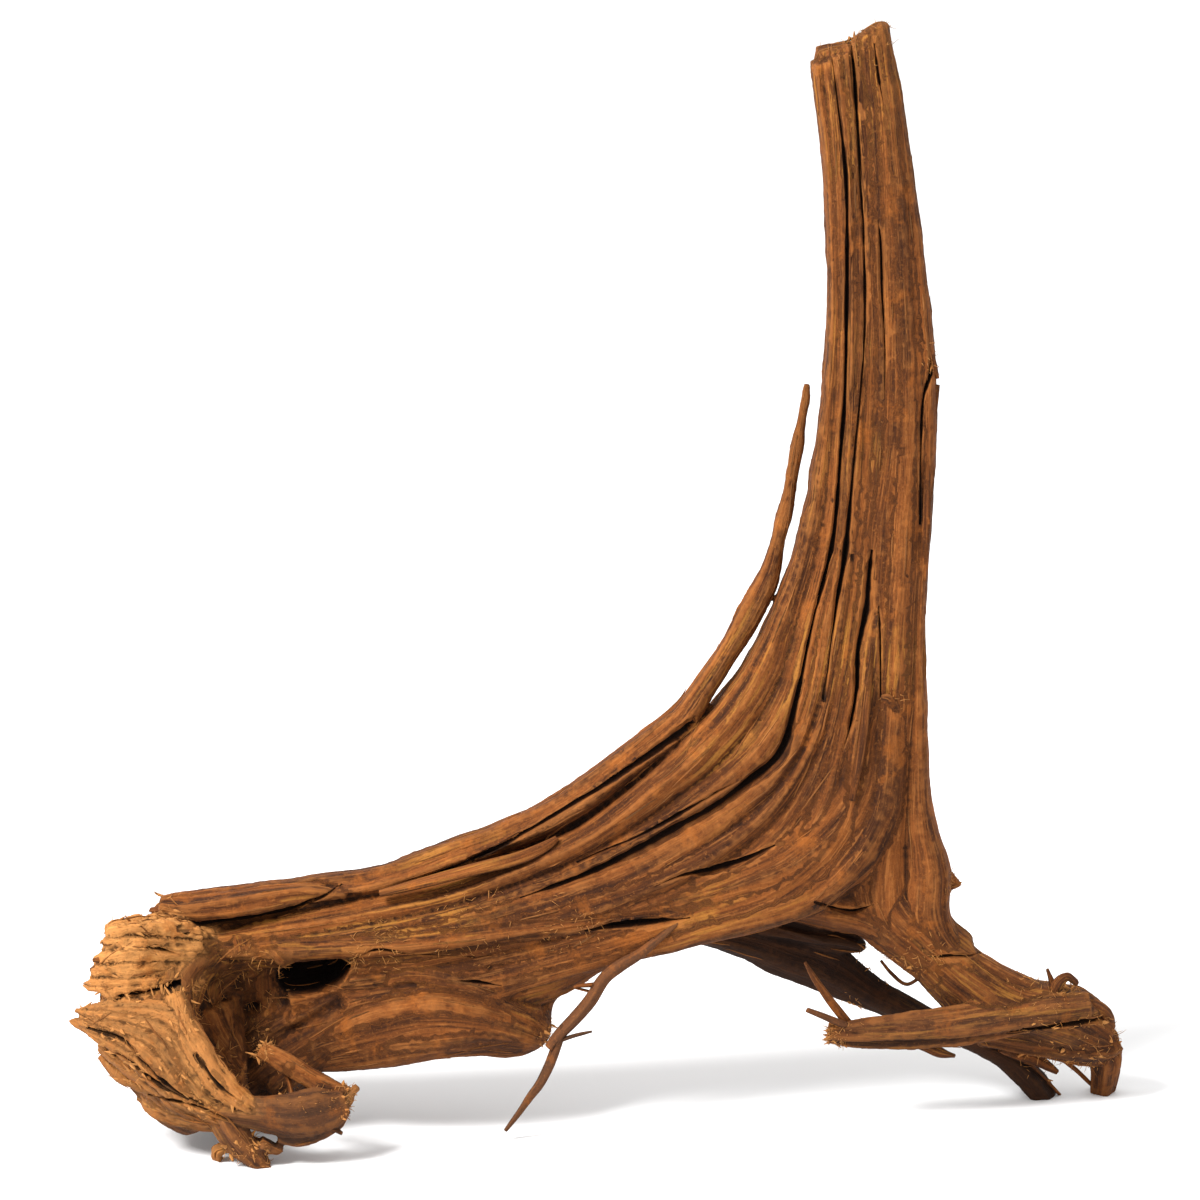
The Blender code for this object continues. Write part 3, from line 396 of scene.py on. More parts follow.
SPLINTERS = {
    "hanging": [
        (712, 905, -12, 2, 1), (697, 912, -19, 3, 1), (680, 921, -24, 3.5, 1.2), (660, 938, -27, 4, 1.4),
        (640, 954, -29, 5, 1.5), (620, 966, -30, 6, 1.5), (604, 979, -31, 6, 1.5),
        (590, 1001, -32, 6.5, 1.5), (575, 1019, -32, 6.5, 1.5), (560, 1035, -32, 6, 1.5),
        (549, 1049, -32, 5, 1.4)
    ],
    "elbow": [
        (562, 1032, -32, 4, 1.2), (555, 1052, -32, 5, 1.3), (549, 1068, -32, 5, 1.3),
        (540, 1085, -32, 4.5, 1.2), (530, 1098, -32, 4, 1.1), (519, 1114, -32, 3, 1),
        (505, 1133, -32, 1.8, 0.8)
    ],
    "barb": [
        (556, 1043, -32, 2.5, 0.9), (575, 1036, -32, 2, 0.8), (592, 1032, -32, 1.2, 0.6)
    ],
    "nib": [
        (598, 984, -31, 2.5, 0.9), (575, 987, -31, 1.5, 0.7), (590, 992, -30, 1.2, 0.6)
    ],
    "steep_splinter": [
        (806, 964, -20, 1.5, 0.8), (815, 979, -19, 3, 1), (830, 1001, -17, 4, 1.3),
        (845, 1021, -15, 4.5, 1.4), (858, 1036, -12, 4, 1.4)
    ],
    "flat_splinter": [
        (808, 1012, -22, 2.5, 0.8), (825, 1019, -20, 3.2, 1), (845, 1028, -17, 4, 1.3),
        (862, 1035, -13, 4, 1.4)
    ],
    "low_spike": [
        (895, 1038, -12, 6, 2), (925, 1049, -11, 6, 2), (943, 1057, -10, 5, 1.5), (959, 1061, -9, 2, 0.8)
    ],
    "window_twig": [
        (885, 966, 6, 1.6, 0.7), (896, 979, 6, 1.8, 0.8), (911, 990, 5, 1.8, 0.8), (926, 982, 3, 2, 1)
    ],
    "sole_spike": [
        (1010, 1052, 8, 10, 3), (1035, 1064, 10, 9, 2.5), (1052, 1073, 12, 6, 2), (1067, 1082, 14, 2.5, 1)
    ],
    "sole_twig": [
        (1020, 1060, 10, 3, 1), (1046, 1081, 14, 2.2, 0.9), (1071, 1107, 18, 1.6, 0.7)
    ],
    "toe_twig": [
        (1070, 1066, 14, 3, 1), (1086, 1080, 17, 2.4, 0.9), (1103, 1096, 20, 2, 0.8)
    ],
    "tail_thorn": [
        (1062, 1002, 2, 4, 1.5), (1058, 987, 1, 3, 1.2), (1053, 974, 0, 1.6, 0.8)
    ],
    "tail_curl": [
        (1058, 1004, 0, 5, 2), (1064, 988, -1, 5, 2), (1073, 981, -1, 4.5, 1.8), (1083, 988, 0, 3, 1.4)
    ],
    "tail_lip": [
        (1085, 1014, 2, 9, 2.5), (1100, 1013, 3, 8, 2.4), (1114, 1020, 5, 6, 2), (1121, 1032, 8, 3, 1.5)
    ],
    "board_nib": [
        (175, 904, -20, 6, 3), (158, 910, -19, 4, 2), (149, 911, -18, 2, 1.2)
    ],
    "slab_nib": [
        (122, 950, -48, 5, 1.6), (107, 956, -50, 3, 1.2), (97, 957, -50, 1.6, 0.8)
    ],
    "lobe_thorn": [
        (325, 1104, -58, 6, 2), (343, 1108, -58, 3.5, 1.4), (352, 1109, -58, 1.6, 0.8)
    ],
    "lobe_fang": [
        (318, 1120, -59, 5, 2), (336, 1126, -59, 3, 1.4), (344, 1130, -59, 1.5, 0.8)
    ],
    "brace": [
        (283, 1060, -50, 2.5, 1), (290, 1078, -50, 2.5, 1), (296, 1098, -56, 3, 1)
    ],
    "sub_rib": [
        (557, 838, -21, 3, 2), (545, 846, -22, 5, 2.5), (520, 857, -24, 6, 3), (480, 868, -26, 6, 3),
        (430, 881, -28, 5, 3), (380, 893, -29, 3, 2)
    ],
    "slot_point": [
        (873, 600, -12, 1.6, 1.2), (872, 630, -13, 3, 2), (868, 680, -14, 4.5, 3), (862, 740, -16, 5, 3),
        (852, 800, -18, 4, 2)
    ],
    "stem_tear": [
        (897, 712, -14, 4, 1), (892, 704, -16, 5, 1.4), (886, 698, -17, 5, 1.4), (880, 697, -17, 2, 1)
    ],
    "edge_strand": [
        (930, 386, -4, 6, 3), (927, 420, -6, 6, 3), (925, 470, -8, 5.5, 3), (924, 520, -9, 5, 3),
        (922, 580, -9, 3, 2)
    ],
    "step_flake": [
        (917, 344, -10, 4, 1.6), (924, 354, -9, 4, 1.6), (930, 368, -8, 3, 1.4), (934, 380, -7, 2, 1)
    ],
}

# Front and back of the sweep at the stations of its seams, as y, and the half thickness of its ribs.
SWEEP_FRONT = [-11, -12, -13, -13, -14, -15, -16, -18, -21, -25, -29, -31, -32]
SWEEP_BACK = [10, 12, 13, 13, 13, 14, 15, 17, 17, 14, 10, 6, 2]
SWEEP_THICK = [6, 6, 6.5, 6.5, 7, 8, 9, 11, 12, 12, 12, 12, 11]
FOOT_FRONT = [-9, -10, -11, -11, -11, -12, -12, -13, -13, -11, -8, -6, -4, -1]
FOOT_BACK = [8, 10, 12, 12, 12, 13, 14, 15, 16, 16, 16, 16, 17, 18]
FOOT_THICK = [5, 5, 6, 7, 7, 7, 8, 9, 9, 9, 8, 7, 7, 6]
SLAB_FRONT = [-40, -48, -54, -52, -46]
SLAB_THICK = [5, 5, 4, 3.5, 2]
WALL_FRONT = [-60, -62, -62, -60, -56, -47]
WALL_THICK = [4, 4.5, 4.5, 4, 3.5, 2]

# How grey, how torn and how calm the wood of a limb is, and how much painted shade darkens it, by the start
# of its name.
# Calm wood has a smooth velvety skin in place of ridges.
GREY_LIMBS = {"plank": 0.5, "hanging": 1, "elbow": 1, "barb": 1, "lobe": 1, "strap": 0.7, "flat_splinter": 1}
TORN_LIMBS = {
    "cap": 1, "slab_rib": 0.85, "wall_rib": 0.5, "rim": 0.6, "flake": 0.42, "belly": 0.42, "knuckle": 0.5,
    "lobe_corner": 0.6
}
CALM_LIMBS = {
    "slot_rib": 1, "crotch_rib": 0.9, "fan": 1, "ankle": 1, "crotch_web": 1, "foot_top": 0.7, "shin_rib": 0.7,
    "boss": 1, "burl_back": 1, "bowl": 0.8, "outer_rib": 0.35, "deep_rib": 0.45, "back_leg": 0.5,
    "cap_rib": 0.8, "slab_rib": 0.7, "wall_rib": 0.5, "back_rib": 0.6, "calf_rib": 0.6
}
# Painted shade: the limbs under the arm and in and behind the burl lie in shadow and are mixed towards the
# groove colour; the foot, the lobe, the plank and the ankle are darkened likewise, by less.
SHADED_LIMBS = {
    "back_leg": 1.12, "under_web": 1.12, "burl_back": 0.6, "bowl": 0.6, "lobe": 0.4, "plank": 0.1,
    "foot_top": 0.32, "foot_sole": 0.38, "foot_tip": 0.3, "ankle": 0.12, "calf_rib": 0.3
}
# Deep holes, which are painted dark inside as shade: (px, py, half width and half height in pixels, y that
# they start at).
SHADED_PITS = [(314, 977, 40, 26, -26)]

# Spots that bristle: (px, py, radius in pixels, how many hairs, their length in mm, how many chips).
HAIR_SPOTS = [
    (262, 1046, 14, 110, 2.0, 30), (175, 1000, 34, 150, 2.6, 90), (135, 948, 34, 110, 2.4, 90),
    (110, 1000, 30, 90, 2.4, 60), (130, 1050, 34, 120, 2.6, 70), (215, 1080, 34, 120, 2.2, 60),
    (345, 1098, 18, 110, 1.6, 26), (300, 1085, 24, 70, 1.8, 12), (250, 1155, 24, 90, 2.6, 50),
    (375, 945, 30, 110, 3.0, 0), (475, 925, 44, 90, 2.2, 0), (570, 925, 36, 90, 2.4, 0),
    (250, 985, 40, 120, 3.2, 0), (560, 1040, 22, 60, 2.4, 6), (925, 955, 24, 90, 2.4, 10),
    (1040, 1005, 34, 100, 2.4, 6), (1100, 1050, 30, 120, 2.2, 24), (1075, 985, 18, 60, 2.4, 12),
    (960, 885, 14, 40, 2.2, 4), (850, 45, 40, 90, 1.8, 8), (890, 700, 12, 30, 2.0, 0),
    (930, 360, 16, 40, 2.0, 4), (160, 905, 22, 70, 2.6, 16), (885, 970, 26, 60, 3.0, 4),
    (1055, 1070, 26, 60, 2.4, 10), (845, 1020, 24, 60, 2.2, 6), (836, 1042, 13, 70, 1.8, 40),
]


def seen(px, py):
    """x and h of a pixel."""
    return (px - MIDDLE_PX) * PIXEL, (GROUND_PX - py) * PIXEL


def seam_rows(rows):
    """A seam's rows in mm, as an array of (x, h)."""
    return np.array([seen(px, py) for px, py in rows])


def limb_rows(rows):
    """A limb's rows in mm, as (x, y, h, half width, half thickness)."""
    placed = []
    for px, py, y, half_px, half_thick in rows:
        x, h = seen(px, py)
        placed.append((x, y, h, half_px * PIXEL, half_thick))
    return placed


def groove_rows(rows):
    """A groove's rows in mm, as (x, h, half width)."""
    return [(*seen(px, py), half_px * PIXEL) for px, py, half_px in rows]


def real(x, y, h):
    """The point, in metres, that shows at (x, h) from SIGHT above the level."""
    return Vector((x - CENTRE[0], y - CENTRE[1], (h - y * math.sin(SIGHT)) / math.cos(SIGHT))) * MM


def smooth(rows, count):
    """count rows along the Catmull-Rom curve through these rows, all columns alike."""
    knots = np.array(rows, float)
    knots = np.vstack([2 * knots[0] - knots[1], knots, 2 * knots[-1] - knots[-2]])
    at = np.linspace(0, len(rows) - 1, count)
    i = np.minimum(at.astype(int), len(rows) - 2)
    t = (at - i)[:, None]
    a, b, c, d = (knots[i + k] for k in range(4))
    return 0.5 * (2 * b + (c - a) * t + (2 * a - 5 * b + 4 * c - d) * t**2 + (3 * b - a - 3 * c + d) * t**3)


def loft(name, rings):
    """A closed mesh object through rings of points, all of one length."""
    sides = len(rings[0])
    faces = []
    for i in range(len(rings) - 1):
        for j in range(sides):
            k = (j + 1) % sides
            faces.append((i * sides + j, (i + 1) * sides + j, (i + 1) * sides + k, i * sides + k))
    faces.append(tuple(range(sides)))
    faces.append(tuple((len(rings) - 1) * sides + j for j in range(sides))[::-1])
    mesh = bpy.data.meshes.new(name)
    mesh.from_pydata([point for ring in rings for point in ring], [], faces)
    obj = bpy.data.objects.new(name, mesh)
    bpy.context.scene.collection.objects.link(obj)
    return obj


class Grain:
    """Which way the wood's fibres run: the limbs that it grew from, each with its own directions."""

    def __init__(self):
        self.skin = []
        self.frames = []
        self.names = []

    def add(self, name, centres, loops, halves):
        """Notes a limb: its centres, its rings of skin and its half widths and thicknesses, in metres."""
        number = len(self.names)
        self.names.append(name)
        wide, thick = np.mean(halves, axis=0)
        run = 0
        for i, (centre, loop) in enumerate(zip(centres, loops)):
            run += (centre - centres[max(i - 1, 0)]).length
            across, out = section(centres, i)
            along = across.cross(out)
            half_width, half_thick = halves[i]
            frame_here = (*centre, *across, *out, *along, half_width, half_thick, wide, thick, run, number)
            for point in loop[::2]:
                self.skin.append(point)
                self.frames.append(frame_here)

    def at(self, points):
        """For each point its place in the grain (across, out, along) in mm, the fibres' way and its limb.

        The limb is the one that it lies deepest in, and the frame is that of the limb's ring beside it.
        """
        tree = KDTree(len(self.skin))
        for i, point in enumerate(self.skin):
            tree.insert(point, i)
        tree.balance()
        near = np.array([[index for _, index, _ in tree.find_n(point, NEAR_RINGS)] for point in points])
        frames = np.array(self.frames)[near]
        offset = points[:, None, :] - frames[:, :, 0:3]
        across = np.einsum("ijk,ijk->ij", offset, frames[:, :, 3:6]) / frames[:, :, 12]
        out = np.einsum("ijk,ijk->ij", offset, frames[:, :, 6:9]) / frames[:, :, 13]
        row = np.arange(len(points))
        limbs = frames[:, :, 17]
        limb = limbs[row, np.argmin(across**2 + out**2, axis=1)]
        ahead = np.abs(np.einsum("ijk,ijk->ij", offset, frames[:, :, 9:12]))
        chosen = np.argmin(np.where(limbs == limb[:, None], ahead, OUT_OF_REACH), axis=1)
        frames = frames[row, chosen]
        across = np.clip(across[row, chosen], -1.6, 1.6) * frames[:, 14]
        out = np.clip(out[row, chosen], -1.6, 1.6) * frames[:, 15]
        along = np.einsum("ij,ij->i", offset[row, chosen], frames[:, 9:12]) + frames[:, 16]
        limb_number = frames[:, 17].astype(int)
        place = np.stack([across, out, along], axis=1) / MM + limb_number[:, None] * 31.7
        return place, frames[:, 9:12], limb_number


grain = Grain()


def section(centres, i):
    """The directions across and out of a limb at ring i, of which the second one faces the front."""
    along = (centres[min(i + 1, len(centres) - 1)] - centres[max(i - 1, 0)]).normalized()
    across = along.cross(Vector((0, -1, 0))).normalized()
    return across, across.cross(along)


def limb(name, rows, rng, rings=48, sides=20, flutes=5, flute_depth=0.07):
    """A closed limb along its rows, with shallow flutes that drift round it as it runs."""
    rings *= FINER
    sides *= FINER
    line = smooth(rows, rings)
    line[:, 3:] = np.maximum(line[:, 3:], FINEST)
    centres = [real(*row[:3]) for row in line]
    phase = [rng.uniform(0, 2 * math.pi) for _ in range(4)]
    loops = []
    for i, (_, _, _, half_width, half_thick) in enumerate(line):
        across, out = section(centres, i)
        run = i / (rings - 1)
        loop = []
        for j in range(sides):
            turn = 2 * math.pi * j / sides
            swell = 1 + flute_depth * (
                math.sin(flutes * turn + phase[0] + 2.4 * math.sin(3 * run + phase[1]))
                + 0.6 * math.sin((flutes + 2) * turn + phase[2] + 3 * run)
                + 0.5 * math.sin(7 * run + phase[3])
            )
            loop.append(
                centres[i]
                + across * half_width * MM * swell * math.cos(turn)
                + out * half_thick * MM * swell * math.sin(turn)
            )
        loops.append(loop)
    grain.add(name, centres, loops, line[:, 3:] * MM)
    return loft(name, loops)


def ribs(name, seam_a, seam_b, count, face, thick, proud, rng, rough=0.8, ragged=0.1):
    """count ribs side by side between two seams.

    face is the y of the surface that they lie in, and thick their half thickness, which is negative for ribs
    of the back. proud lifts them out of that surface, and rough is how much they differ in that. ragged is
    the share of the last stretch by which their ends differ.
    """
    start = seam_rows(seam_a)
    step = (seam_rows(seam_b) - start) / count
    made = []
    for k in range(count):
        left = start + step * k
        right = left + step
        middle = (left + right) / 2
        half = np.linalg.norm(right - left, axis=1) * 0.54 + 0.3
        lift = proud + rng.uniform(-rough, rough)
        rows = []
        for (x, h), y, half_thick, half_width in zip(middle, face, thick, half):
            depth = y + half_thick - math.copysign(lift, half_thick)
            rows.append((x, depth, h, half_width, abs(half_thick)))
        rows[-1] = tuple(np.array(rows[-1]) + (np.array(rows[-1]) - rows[-2]) * rng.uniform(-ragged, ragged))
        made.append(limb(f"{name}_{k}", rows, rng, rings=90, sides=24, flutes=7, flute_depth=0.05))
    return made


def core(name, seam_a, seam_b, front, back, rng):
    """The solid heart between two seams, a little inside the ribs on every side."""
    rows = []
    for a, b, near, far in zip(seam_rows(seam_a), seam_rows(seam_b), front, back):
        rows.append((
            (a[0] + b[0]) / 2, (near + far) / 2, (a[1] + b[1]) / 2, math.dist(a, b) * 0.4, (far - near) * 0.39
        ))
    return limb(name, rows, rng, rings=90, sides=28, flute_depth=0.02)


def flank(name, seam, inset, depths, rng):
    """Ribs of the side that the seam borders, one behind the other at these depths."""
    made = []
    for depth in depths:
        rows = [(x + inset, depth + 2 * k / len(seam), h, 3, 2.9) for k, (x, h) in enumerate(seam_rows(seam))]
        made.append(limb(f"{name}_{depth}", rows, rng, rings=60, sides=16, flutes=3))
    return made


def trunk(rng):
    """The stem, the arm that sweeps out of it, and the foot that runs on down."""
    behind = [-t for t in SWEEP_THICK]
    foot_behind = [-t for t in FOOT_THICK]
    return [
        core("sweep_core", OUTER_SEAM, HEEL_SEAM, SWEEP_FRONT, SWEEP_BACK, rng),
        *ribs("outer_rib", OUTER_SEAM, DEEP_SEAM, 2, SWEEP_FRONT, SWEEP_THICK, 0, rng),
        *ribs("deep_rib", DEEP_SEAM, CROTCH_SEAM, 2, SWEEP_FRONT, SWEEP_THICK, -2.5, rng),
        *ribs("crotch_rib", CROTCH_SEAM, SLOT_SEAM, 2, SWEEP_FRONT, SWEEP_THICK, 0, rng),
        *ribs("slot_rib", SLOT_SEAM, HEEL_SEAM, 2, SWEEP_FRONT, SWEEP_THICK, 1, rng),
        *ribs("back_rib", OUTER_SEAM, HEEL_SEAM, 6, SWEEP_BACK, behind, 0, rng),
        *flank("left_flank", OUTER_SEAM[:8], 2.6, (-5, 1, 7), rng),
        *flank("right_flank", EDGE_SEAM[:9], -2.5, (-6, 0, 6), rng),
        core("foot_core", SHIN_SEAM, EDGE_SEAM, FOOT_FRONT, FOOT_BACK, rng),
        *ribs("shin_rib", SHIN_SEAM, EDGE_SEAM, 2, FOOT_FRONT, FOOT_THICK, 0, rng),
        *ribs("calf_rib", SHIN_SEAM, EDGE_SEAM, 3, FOOT_BACK, foot_behind, 0, rng),
    ]


def burl_walls(rng):
    """The torn staves that make the burl's outer side."""
    return [
        *ribs("cap_rib", CAP_SEAM, SLAB_SEAM, 3, SLAB_FRONT, SLAB_THICK, 0, rng, 1.5, 0.3),
        *ribs("slab_rib", SLAB_SEAM, WEDGE_SEAM, 2, SLAB_FRONT, SLAB_THICK, 0.5, rng, 1.5, 0.3),
        *ribs("wall_rib", RIM_SEAM, FLAKE_SEAM, 5, WALL_FRONT, WALL_THICK, 0, rng, 1.8, 0.25),
    ]


def settle(obj):
    """Applies the object's modifiers."""
    graph = bpy.context.evaluated_depsgraph_get()
    mesh = bpy.data.meshes.new_from_object(obj.evaluated_get(graph))
    obj.modifiers.clear()
    obj.data = mesh


def join(pieces):
    """One object of all the pieces, which are used up."""
    bpy.ops.object.select_all(action="DESELECT")
    for piece in pieces:
        piece.select_set(True)
    bpy.context.view_layer.objects.active = pieces[0]
    if len(pieces) > 1:
        bpy.ops.object.join()
    return pieces[0]


def fuse(pieces, voxel):
    """One closed object from pieces that overlap, which are used up."""
    body = join(pieces)
    remesh = body.modifiers.new("fuse", "REMESH")
    remesh.mode = "VOXEL"
    remesh.voxel_size = voxel
    settle(body)
    return body


def combine(body, pieces, operation):
    """One Boolean of all the pieces with the body, which uses them up."""
    group = bpy.data.collections.new(operation.lower())
    bpy.context.scene.collection.children.link(group)
    for piece in pieces:
        group.objects.link(piece)
    boolean = body.modifiers.new(operation.lower(), "BOOLEAN")
    boolean.operation = operation
    boolean.operand_type = "COLLECTION"
    boolean.collection = group
    boolean.solver = "MANIFOLD"
    settle(body)
    for piece in pieces:
        bpy.data.objects.remove(piece, do_unlink=True)
    bpy.data.collections.remove(group)


def groove_cutter(name, rows, surface, rng):
    """A blade with sloping lips that follows the visible surface along the rows and goes in deep."""
    sight = Vector((0, 1, -math.tan(SIGHT))).normalized()
    line = smooth(rows, 6 * len(rows))
    centres, halves = [], []
    for x, h, half_width in line:
        hit = surface.ray_cast(real(x, -150, h), sight)[0]
        if hit is not None:
            centres.append(hit)
            halves.append(max(GROOVE_SHARE * half_width, 0.2) * MM)
    loops = []
    for i, half in enumerate(halves):
        across, out = section(centres, i)
        ragged = 1 + rng.uniform(-0.14, 0.14)
        loops.append([
            centres[i] + (across * wide * ragged + out * max(deep, -6.5 * MM / half)) * half
            for wide, deep in GROOVE_SECTION
        ])
    return loft(name, loops)


def limbs(names, table, rng, **settings):
    """The limbs of these names in a table."""
    return [limb(name, limb_rows(table[name]), rng, **settings) for name in names]


def solid_body(rng, voxel):
    """The wood in one piece, before its grooves are cut: the hollows go in before the walls round them."""
    inner = ("bowl", "bowl_back")
    body = fuse(trunk(rng) + limbs(inner, LIMBS, rng), voxel)
    combine(body, limbs(HOLLOWS, HOLLOWS, rng), "DIFFERENCE")
    outer = [name for name in LIMBS if name not in inner]
    return fuse([body] + burl_walls(rng) + limbs(outer, LIMBS, rng), voxel)


def points_of(mesh):
    """The mesh's vertices and their normals, as arrays."""
    points = np.empty(len(mesh.vertices) * 3)
    mesh.vertices.foreach_get("co", points)
    normals = np.empty(len(mesh.vertices) * 3)
    mesh.vertex_normals.foreach_get("vector", normals)
    return points.reshape(-1, 3), normals.reshape(-1, 3)


def ends_of(mesh):
    """The vertices at the two ends of each edge, as two arrays."""
    ends = np.empty(len(mesh.edges) * 2, int)
    mesh.edges.foreach_get("vertices", ends)
    return ends.reshape(-1, 2).T


def spread(mesh, values, times):
    """The values averaged with those of the neighbouring vertices, so many times over."""
    a, b = ends_of(mesh)
    count = np.bincount(np.concatenate([a, b]), minlength=len(mesh.vertices)).astype(float)
    columns = values.reshape(len(values), -1)
    for _ in range(times):
        columns = np.stack([
            (np.bincount(a, c[b], len(c)) + np.bincount(b, c[a], len(c)) + c) / (count + 1) for c in columns.T
        ], axis=1)
    return columns.reshape(values.shape)


def lattice_noise(points, seed):
    """Smooth noise from -1 to 1 with one lump to each unit."""
    cell = np.floor(points).astype(np.int64)
    t = points - cell
    t = t * t * (3 - 2 * t)
    total = np.zeros(len(points))
    for corner in range(8):
        bits = np.array([corner >> k & 1 for k in range(3)])
        where = cell + bits
        mixed = where[:, 0] * 73856093 ^ where[:, 1] * 19349663 ^ where[:, 2] * 83492791 ^ seed * 2654435761
        mixed = (mixed ^ mixed >> 13) * 1274126177 & 0x7FFFFFFF
        weight = np.prod(np.where(bits, t, 1 - t), axis=1)
        total += weight * ((mixed ^ mixed >> 16) % 65536 / 32767.5 - 1)
    return total


def limb_share(number, shares):
    """The share of each point's limb, by the start of the limb's name, and 0 for a limb that has none."""
    limb_shares = [max([share for start, share in shares.items() if name.startswith(start)] + [0])
                   for name in grain.names]
    return np.array(limb_shares, float)[number]


def soften(mesh):
    """Smooths the wood where it is calm."""
    points, _ = points_of(mesh)
    _, _, number = grain.at(points)
    calm = spread(mesh, limb_share(number, CALM_LIMBS), 12)[:, None]
    mesh.vertices.foreach_set("co", (points + calm * (spread(mesh, points, 45) - points)).ravel())
    mesh.update()


def relief(mesh, points, place, torn, calm, settings):
    """How far each point stands out, in metres, from its place in the grain and how torn or calm it is."""
    def ridged(across, along, seed):
        return lattice_noise(place / np.array([across, across, along]), seed)

    broad = ridged(5.5, 110, 1)
    fibres = ridged(2.1, 46, 2) * 0.6 + ridged(1.3, 28, 3) * 0.4
    cracks = np.clip(1 - np.abs(ridged(7, 130, 4)) * 10, 0, 1) * np.clip(2.5 * ridged(16, 70, 5) + 0.1, 0, 1)
    grit = lattice_noise(points / MM / 1.5, 6)
    sheets = np.floor(3.5 * ridged(3.6, 15, 10)) / 3.5
    crumble = 0.8 * lattice_noise(points / MM / 2.6, 7) + 0.6 * ridged(1.6, 8, 8) + 0.9 * sheets
    lumps = lattice_noise(points / MM / 8, 11)
    along_grain = (
        settings.ridge_depth * ((0.9 * broad + 0.4 * fibres) * (1 - 0.55 * calm) + 0.8 * lumps)
        - settings.crack_depth * cracks * (1 + torn) * (1 - 0.8 * calm)
    )
    return spread(mesh, along_grain, 2) + settings.grit_depth * grit + settings.crumble_depth * torn * crumble


def front_places(points):
    """x and h, in mm, at which points show from the front."""
    y = points[:, 1] / MM + CENTRE[1]
    h = points[:, 2] / MM * math.cos(SIGHT) + y * math.sin(SIGHT)
    return np.stack([points[:, 0] / MM + CENTRE[0], h], axis=1)


def pit_shade(points):
    """The painted shade of the deep holes: more than 1 for the points inside them, as they show from the
    front, and 0 for the rest.
    """
    shown = front_places(points)
    share = np.zeros(len(points))
    for px, py, half_width, half_height, start in SHADED_PITS:
        off = (shown - np.array(seen(px, py))) / PIXEL / np.array([half_width, half_height])
        inside = (off**2).sum(axis=1) < 1
        share = np.maximum(share, inside * np.clip((points[:, 1] / MM + CENTRE[1] - start) / 3, 0, 1.3))
    return share


def keep(mesh, name, values):
    """Stores values on the mesh's vertices under a name that its material reads."""
    kind, field = ("FLOAT_VECTOR", "vector") if values.ndim == 2 else ("FLOAT", "value")
    mesh.attributes.new(name, kind, "POINT").data.foreach_set(field, values.astype(np.float32).ravel())


def dress(obj, hollows=True):
    """Stores what the wood's material reads: the grain, how grey and how torn, and painted shade: on shaded
    limbs, in the deep holes, on undersides and by how hollow a place is, with a painted highlight on convex
    edges.
    """
    mesh = obj.data
    points, normals = points_of(mesh)
    place, _, number = grain.at(points)
    keep(mesh, "grain", place)
    for name, shares in (("grey", GREY_LIMBS), ("torn", TORN_LIMBS), ("dark", SHADED_LIMBS)):
        share = spread(mesh, limb_share(number, shares), 8 if hollows else 0)
        # dark is painted shade: on the shaded limbs, and inside the deep holes.
        if name == "dark":
            share = np.maximum(share, pit_shade(points))
        keep(mesh, name, share)
    # Painted shade on faces turned downwards.
    below = spread(mesh, np.clip(-normals[:, 2], 0, 1), 10 if hollows else 0)
    keep(mesh, "below", below)
    # How sunk a point is, near and far: it drives painted shade in creases and hollows, and a painted
    # highlight on convex edges.
    for name, reach in (("fold_shade_and_highlight", 3), ("hollow", 40)):
        sunk_shade = np.zeros(len(points))
        if hollows:
            sunk_shade = np.einsum("ij,ij->i", spread(mesh, points, reach) - points, normals) / MM
        keep(mesh, name, sunk_shade)


def finish_piece(obj, name, material):
    """Names a piece, gives it its material and lets it ride with the wood that it stands for."""
    obj.name = name
    obj.data.name = name
    points, _ = points_of(obj.data)
    points[:, 2] = np.maximum(points[:, 2], 0)
    obj.data.vertices.foreach_set("co", points.ravel())
    obj.data.validate()
    obj.data.materials.clear()
    obj.data.materials.append(material)
    obj.data.shade_smooth()
    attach(obj, "root")
    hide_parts("driftwood")


def tube(centres, widths, sides, flat, rng):
    """The rings of a thin fibre along these centres, widths in mm, so many times as wide as it is thick."""
    turn = rng.uniform(0, math.pi)
    loops = []
    for i, (centre, width) in enumerate(zip(centres, widths)):
        across, out = section(centres, i)
        loops.append([
            centre + (across * math.cos(turn + 2 * math.pi * j / sides) * width
                      + out * math.sin(turn + 2 * math.pi * j / sides) * width / flat) * MM
            for j in range(sides)
        ])
    return loops


class Bundle:
    """Many thin closed fibres in one mesh, each with its own length of grain."""

    def __init__(self):
        self.points = []
        self.faces = []
        self.place = []
        self.count = 0

    def add(self, loops):
        start = len(self.points)
        sides = len(loops[0])
        for i, loop in enumerate(loops):
            self.points.extend(loop)
            self.place.extend((j * 0.4 + self.count * 5.3, self.count * 2.1, i * 1.7) for j in range(sides))
        for i in range(len(loops) - 1):
            for j in range(sides):
                a, b = start + i * sides + j, start + i * sides + (j + 1) % sides
                self.faces.append((a, a + sides, b + sides, b))
        self.faces.append(tuple(range(start, start + sides)))
        self.faces.append(tuple(range(len(self.points) - sides, len(self.points)))[::-1])
        self.count += 1

    def made(self, name, torn, grey, sunk_shade):
        """The object, with what its material reads: how torn and how grey its wood is, and how hollow, for
        its painted shade.
        """
        mesh = bpy.data.meshes.new(name)
        mesh.from_pydata(self.points, [], self.faces)
        keep(mesh, "grain", np.array(self.place))
        read = {"torn": torn, "grey": grey, "dark": 0, "below": 0, "hollow": sunk_shade, "fold_shade_and_highlight": sunk_shade}
        for key, value in read.items():
            keep(mesh, key, np.full(len(self.points), value, float))
        obj = bpy.data.objects.new(name, mesh)
        bpy.context.scene.collection.objects.link(obj)
        return obj


def nearest_wood(body):
    """A tree of the body's faces, its points and normals, and its fibres' way at each point."""
    points, normals = points_of(body.data)
    surface = BVHTree.FromPolygons(
        [vertex.co for vertex in body.data.vertices], [face.vertices for face in body.data.polygons]
    )
    _, way, _ = grain.at(points)
    return surface, points, normals, way


